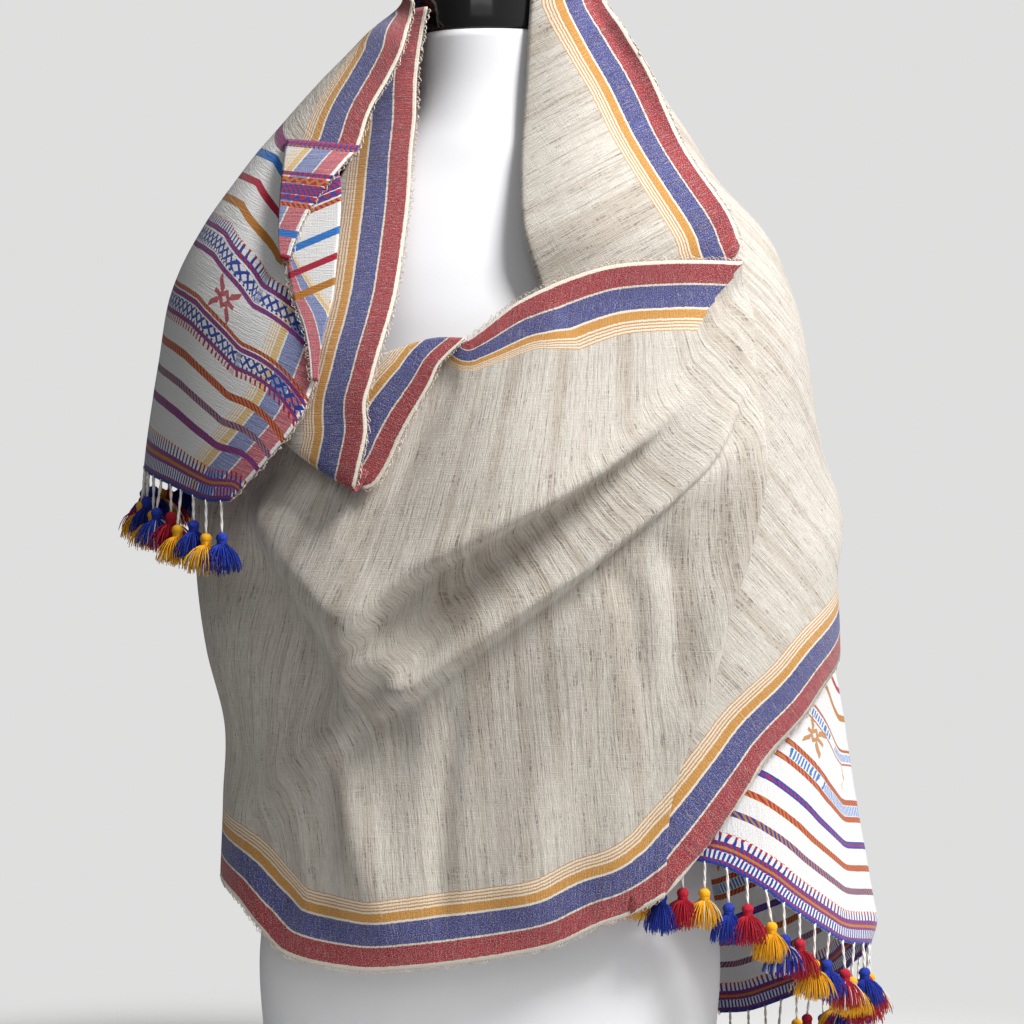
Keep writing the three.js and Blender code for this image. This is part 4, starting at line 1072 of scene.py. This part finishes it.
def hangTassel(strands, root, cordLong, colour, mixed, room, seed):
    chance = np.random.default_rng(seed)
    lean = chance.normal(0, 0.06, 2)
    neck = root + np.array([lean[0] * cordLong, lean[1] * cordLong, -cordLong])
    for turn in (0.0, math.pi):  # two plies of white cord
        path = [root + (neck - root) * k + tassel["plyOut"] * spoke(turn + 9 * k)
                for k in np.linspace(0, 1, 9)]
        strands.tube(path, [tassel["cordRadius"]] * 9, yarnColours["cord"], 5)
    high, wide, waist = tassel["headHigh"], tassel["headWide"], tassel["waistWide"]
    profile = [(0.5, 1.2), (0.0, 2.6), (-1.4, 3.9), (-3.2, wide), (-5.0, 3.9), (-6.4, waist),
               (-7.4, waist - 0.2), (-8.4, waist + 0.4)]
    strands.tube([neck + upward(drop) for drop, r in profile], [r for drop, r in profile], colour, 14)
    for level in tassel["tieLevels"]:  # the wound tie
        turns = np.linspace(0, 2 * math.pi, 13)
        path = [neck + (waist + 0.3) * spoke(a) + upward(level + 0.1 * a / 6) for a in turns]
        strands.tube(path, [0.5] * 13, colour, 4)
    full = chance.uniform(0.8, 1.1) * room
    for k in range(tassel["strands"]):
        share = math.sqrt((k + 0.5) / tassel["strands"])
        out = spoke(2.399963 * k)  # a golden turn from strand to strand
        long = tassel["skirtLong"] * chance.uniform(0.86, 1.06)
        spread = tassel["skirtWide"] * share * full * chance.uniform(0.75, 1.1)
        start = neck + upward(-high + 1.6) + out * waist * share * 0.9
        path = []
        for q in (0, 0.2, 0.45, 0.72, 1.0):
            flare = out * (spread * (1 - math.exp(-2.6 * q)) * 0.85)
            drop = upward(-long * q * (1.1 - 0.2 * share))
            path.append(start + flare + drop + chance.normal(0, 0.25, 3) * q)
        tone = chance.uniform(0.8, 1.12)
        dyed = mixed if k % 5 == 0 else colour
        strands.tube(path, [tassel["strandWide"] * w for w in (1.1, 1.1, 1.0, 0.9, 0.6)],
                     tuple(min(1.0, c * tone) for c in dyed[:3]) + (1.0,))


def lengthsOf(edge):
    return np.concatenate([[0], np.cumsum(np.linalg.norm(np.diff(edge, axis=0), axis=1))])


def rowOn(rows, lengths, place):
    return np.array([np.interp(place, lengths, rows[:, c]) for c in range(3)])


def tasselRow(name, edge, colours, nodes):
    lengths = lengthsOf(edge)
    spacing = lengths[-1] / sum(tassel["counts"])
    done = 0
    made = []
    for part, count in enumerate(tassel["counts"]):
        strands = Strands()
        for k in range(done, done + count):
            root = rowOn(edge, lengths, (k + 0.5) * spacing)
            cordLong = min(19 + 4 * math.sin(2.4 * k), root[2] - 1 - tassel["floorRoom"])
            cordLong = (cordLong + 3.5) * min(1, 0.3 + 0.3 * k)
            colour = yarnColours[colours[k % len(colours)]]
            mixed = yarnColours["cord"] if k % 4 == 1 else colour
            hangTassel(strands, root + upward(1), cordLong, colour, mixed, 0.55 if k < 3 else 1.0, 100 + k)
        done += count
        piece = strands.piece(name + str(part + 1), yarn)
        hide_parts(nodes + "_" + str(part + 1))
        made.append(piece)
    return made


leftTassels = tasselRow("tasselsLeft", endLeft[0], ["royal", "crimson", "gold", "royal", "gold"],
                        "tassels_left")
rightTassels = tasselRow("tasselsRight", endRight[0], ["royal", "crimson", "gold"], "tassels_right")
print("tassels made")


# Frayed long edges: small loops of the threads that turn back there.
fray = {"pitch": 2.1, "reach": 2.7, "wide": 0.27}
frayDyes = [shade(238, 230, 218), shade(232, 218, 206), shade(224, 196, 190), shade(214, 204, 188)]


def frayEdge(strands, edge, inner, seed):
    chance = np.random.default_rng(seed)
    lengths = lengthsOf(edge)
    outward = unit(edge - inner)
    pitch = fray["pitch"]
    for k in range(int(lengths[-1] / pitch)):
        place = (k + chance.uniform(-0.3, 0.3)) * pitch
        start = rowOn(edge, lengths, place)
        end = rowOn(edge, lengths, place + pitch * chance.uniform(0.8, 2.2))
        away = unit(rowOn(outward, lengths, place))
        reach = fray["reach"] * chance.uniform(0.4, 1.25)
        drift = chance.normal(0, 0.35, 3)
        path = [start - away * 0.8, start + away * reach * 0.7 + drift,
                (start + end) / 2 + away * reach + drift, end + away * reach * 0.6 + drift,
                end - away * 0.8]
        strands.tube(path, [fray["wide"]] * 5, frayDyes[int(chance.integers(len(frayDyes)))])


collarFrom = np.searchsorted(endLeft[:, -1, 2], 700)
firstFray = Strands()
secondFray = Strands()
frayed = [  # the tubes, an edge, and the row of points beside it
    (firstFray, panel[0], panel[1]), (firstFray, back[0], back[1]),
    (firstFray, topEdge, panel[-2, -len(topEdge):]), (firstFray, cowl[:, -1], cowl[:, -2]),
    (firstFray, band[:, -1], band[:, -2]), (firstFray, lapel[:, -1], lapel[:, -2]),
    (secondFray, cape[0, 24:], cape[1, 24:]), (secondFray, endLeft[:44, -1], endLeft[:44, -2]),
    (secondFray, endLeft[collarFrom:, -1], endLeft[collarFrom:, -2]),
    (secondFray, endLeft[:cornerRows, 0], endLeft[:cornerRows, 1]),
    (secondFray, turnout[:, 0], turnout[:, 1]), (secondFray, pleat[:, -1], pleat[:, -2]),
]
for seed, (strands, edge, inner) in enumerate(frayed, 1):
    frayEdge(strands, edge, inner, seed)
firstFrayPiece = firstFray.piece("frayedFirst", yarn)
secondFrayPiece = secondFray.piece("frayedSecond", yarn)
print("frayed edges made")


# The form.
def roundPiece(name, rows, levels, around, material):
    heights = np.linspace(rows[0][0], rows[-1][0], levels)[:, None]
    table = rowAt(rows, heights[:, 0])
    angles = np.linspace(0, 2 * math.pi, around, endpoint=False)[None]
    sine, cosine = np.sin(angles), np.cos(angles)
    depth = np.where(cosine > 0, table[:, 2:3], table[:, 3:4])
    reach = acrossOval(table[:, 1:2], depth, sine, cosine)
    points = atReach(angles, reach, np.broadcast_to(heights, reach.shape))
    mesh = bpy.data.meshes.new(name)
    mesh.from_pydata([tuple(p) for p in points.reshape(-1, 3) * mm], [], ringFaces(0, levels, around))
    made = addPiece(name, mesh, material)
    for end in (-2, -1):
        mesh.polygons[end].use_smooth = False
    return made


def shellMaterial(name):
    s = newFinish(name)
    place = s.node("ShaderNodeTexCoord", out="Object")
    grain = s.noise(place, scale=420.0, detail=3.0)
    cloud = s.noise(place, scale=9.0, detail=2.0)
    tone = s.blend(s.fade(cloud, 0.3, 0.8) * 0.5, shade(232, 233, 237), shade(222, 223, 228))
    return s.finish({"Base Color": tone, "Roughness": 0.5 + grain * 0.15, "Specular IOR Level": 0.4,
                     "Normal": s.bump(grain, 0.0002, 0.25)})


def capMaterial(name):
    s = newFinish(name)
    place = s.node("ShaderNodeTexCoord", out="Object")
    smear = s.noise(place, scale=40.0, detail=3.0)
    return s.finish({"Base Color": s.blend(smear, shade(10, 10, 12), shade(16, 16, 18)),
                     "Roughness": 0.08 + smear * 0.12, "Coat Weight": 0.6, "Coat Roughness": 0.05})


torso = roundPiece("formShell", formRows, 150, 96, shellMaterial("mattWhiteShell"))
cap = roundPiece("neckCap", capRows, 40, 64, capMaterial("polishedBlack"))
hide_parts("form_torso")
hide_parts("form_neck_cap")

# What rides, and what is cloth.
slots = {
    "form_shell": [torso], "form_cap": [cap], "tassel_yarn": [*leftTassels, *rightTassels],
    "cloth_body": [firstPiece, cowlPiece, bandPiece, lapelPiece, secondPiece],
    "cloth_end": [turnoutPiece, pleatPiece],
}
for piece in (*sum(slots.values(), []), firstFrayPiece, secondFrayPiece):
    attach(piece, "root")

# Studio.
studio = {"floorRadius": 1.9, "sun": 150.0, "fill": 8.0, "world": 0.75, "glow": 0.27, "sideGlow": 0.2}
floorMesh = bpy.data.meshes.new("floor")
work = bmesh.new()
bmesh.ops.create_circle(work, cap_ends=True, segments=96, radius=studio["floorRadius"])
work.to_mesh(floorMesh)
work.free()
f = newFinish("paleFloor")
where = f.node("ShaderNodeTexCoord", out="Object")
far = f.node("ShaderNodeVectorMath", {"operation": "LENGTH"}, {0: where}, "Value")
tone = f.blend(f.noise(where, scale=3.0) * 0.2, shade(226, 227, 226), shade(220, 221, 221))
floor = addPiece("floor", floorMesh, f.finish({
    "Base Color": tone, "Roughness": 0.9, "Alpha": 1 - f.fade(far, 0.35, 0.75)}))
floor.location.z = -0.0005


def softLight(name, place, aim, size, power, colour):
    lamp = bpy.data.lights.new(name, "AREA")
    lamp.shape = "RECTANGLE"
    lamp.size, lamp.size_y = size
    lamp.energy = power
    lamp.color = colour
    made = addObject(name, lamp)
    made.location = place
    made.rotation_euler = (Vector(aim) - Vector(place)).to_track_quat("-Z", "Y").to_euler()


softLight("windowLight", (1.7, -1.3, 2.8), (0, 0, 0.45), (1.0, 1.0), studio["sun"], (1.0, 0.985, 0.96))
softLight("frontFill", (-0.5, -2.6, 2.0), (0, 0, 0.5), (1.4, 1.4), studio["fill"], (1.0, 0.99, 0.97))
world = bpy.data.worlds.new("paleRoom")
room = Shader(world)
way = room.node("ShaderNodeTexCoord", out="Generated")
toSide = room.node("ShaderNodeSeparateXYZ", None, {0: way}, "X")
direct = room.node("ShaderNodeLightPath", out="Is Camera Ray")
sideGlow = toSide * studio["sideGlow"] + studio["glow"]
glow = sideGlow.sum("MAXIMUM", sideGlow, 0.08)
backdrop = room.node("ShaderNodeBackground", None, {
    "Color": (0.985, 0.982, 0.978, 1.0), "Strength": direct * studio["world"] + (1 - direct) * glow})
room.node("ShaderNodeOutputWorld", None, {0: backdrop})
bpy.context.scene.world = world
bpy.context.scene.view_settings.view_transform = "Standard"
print("studio made")
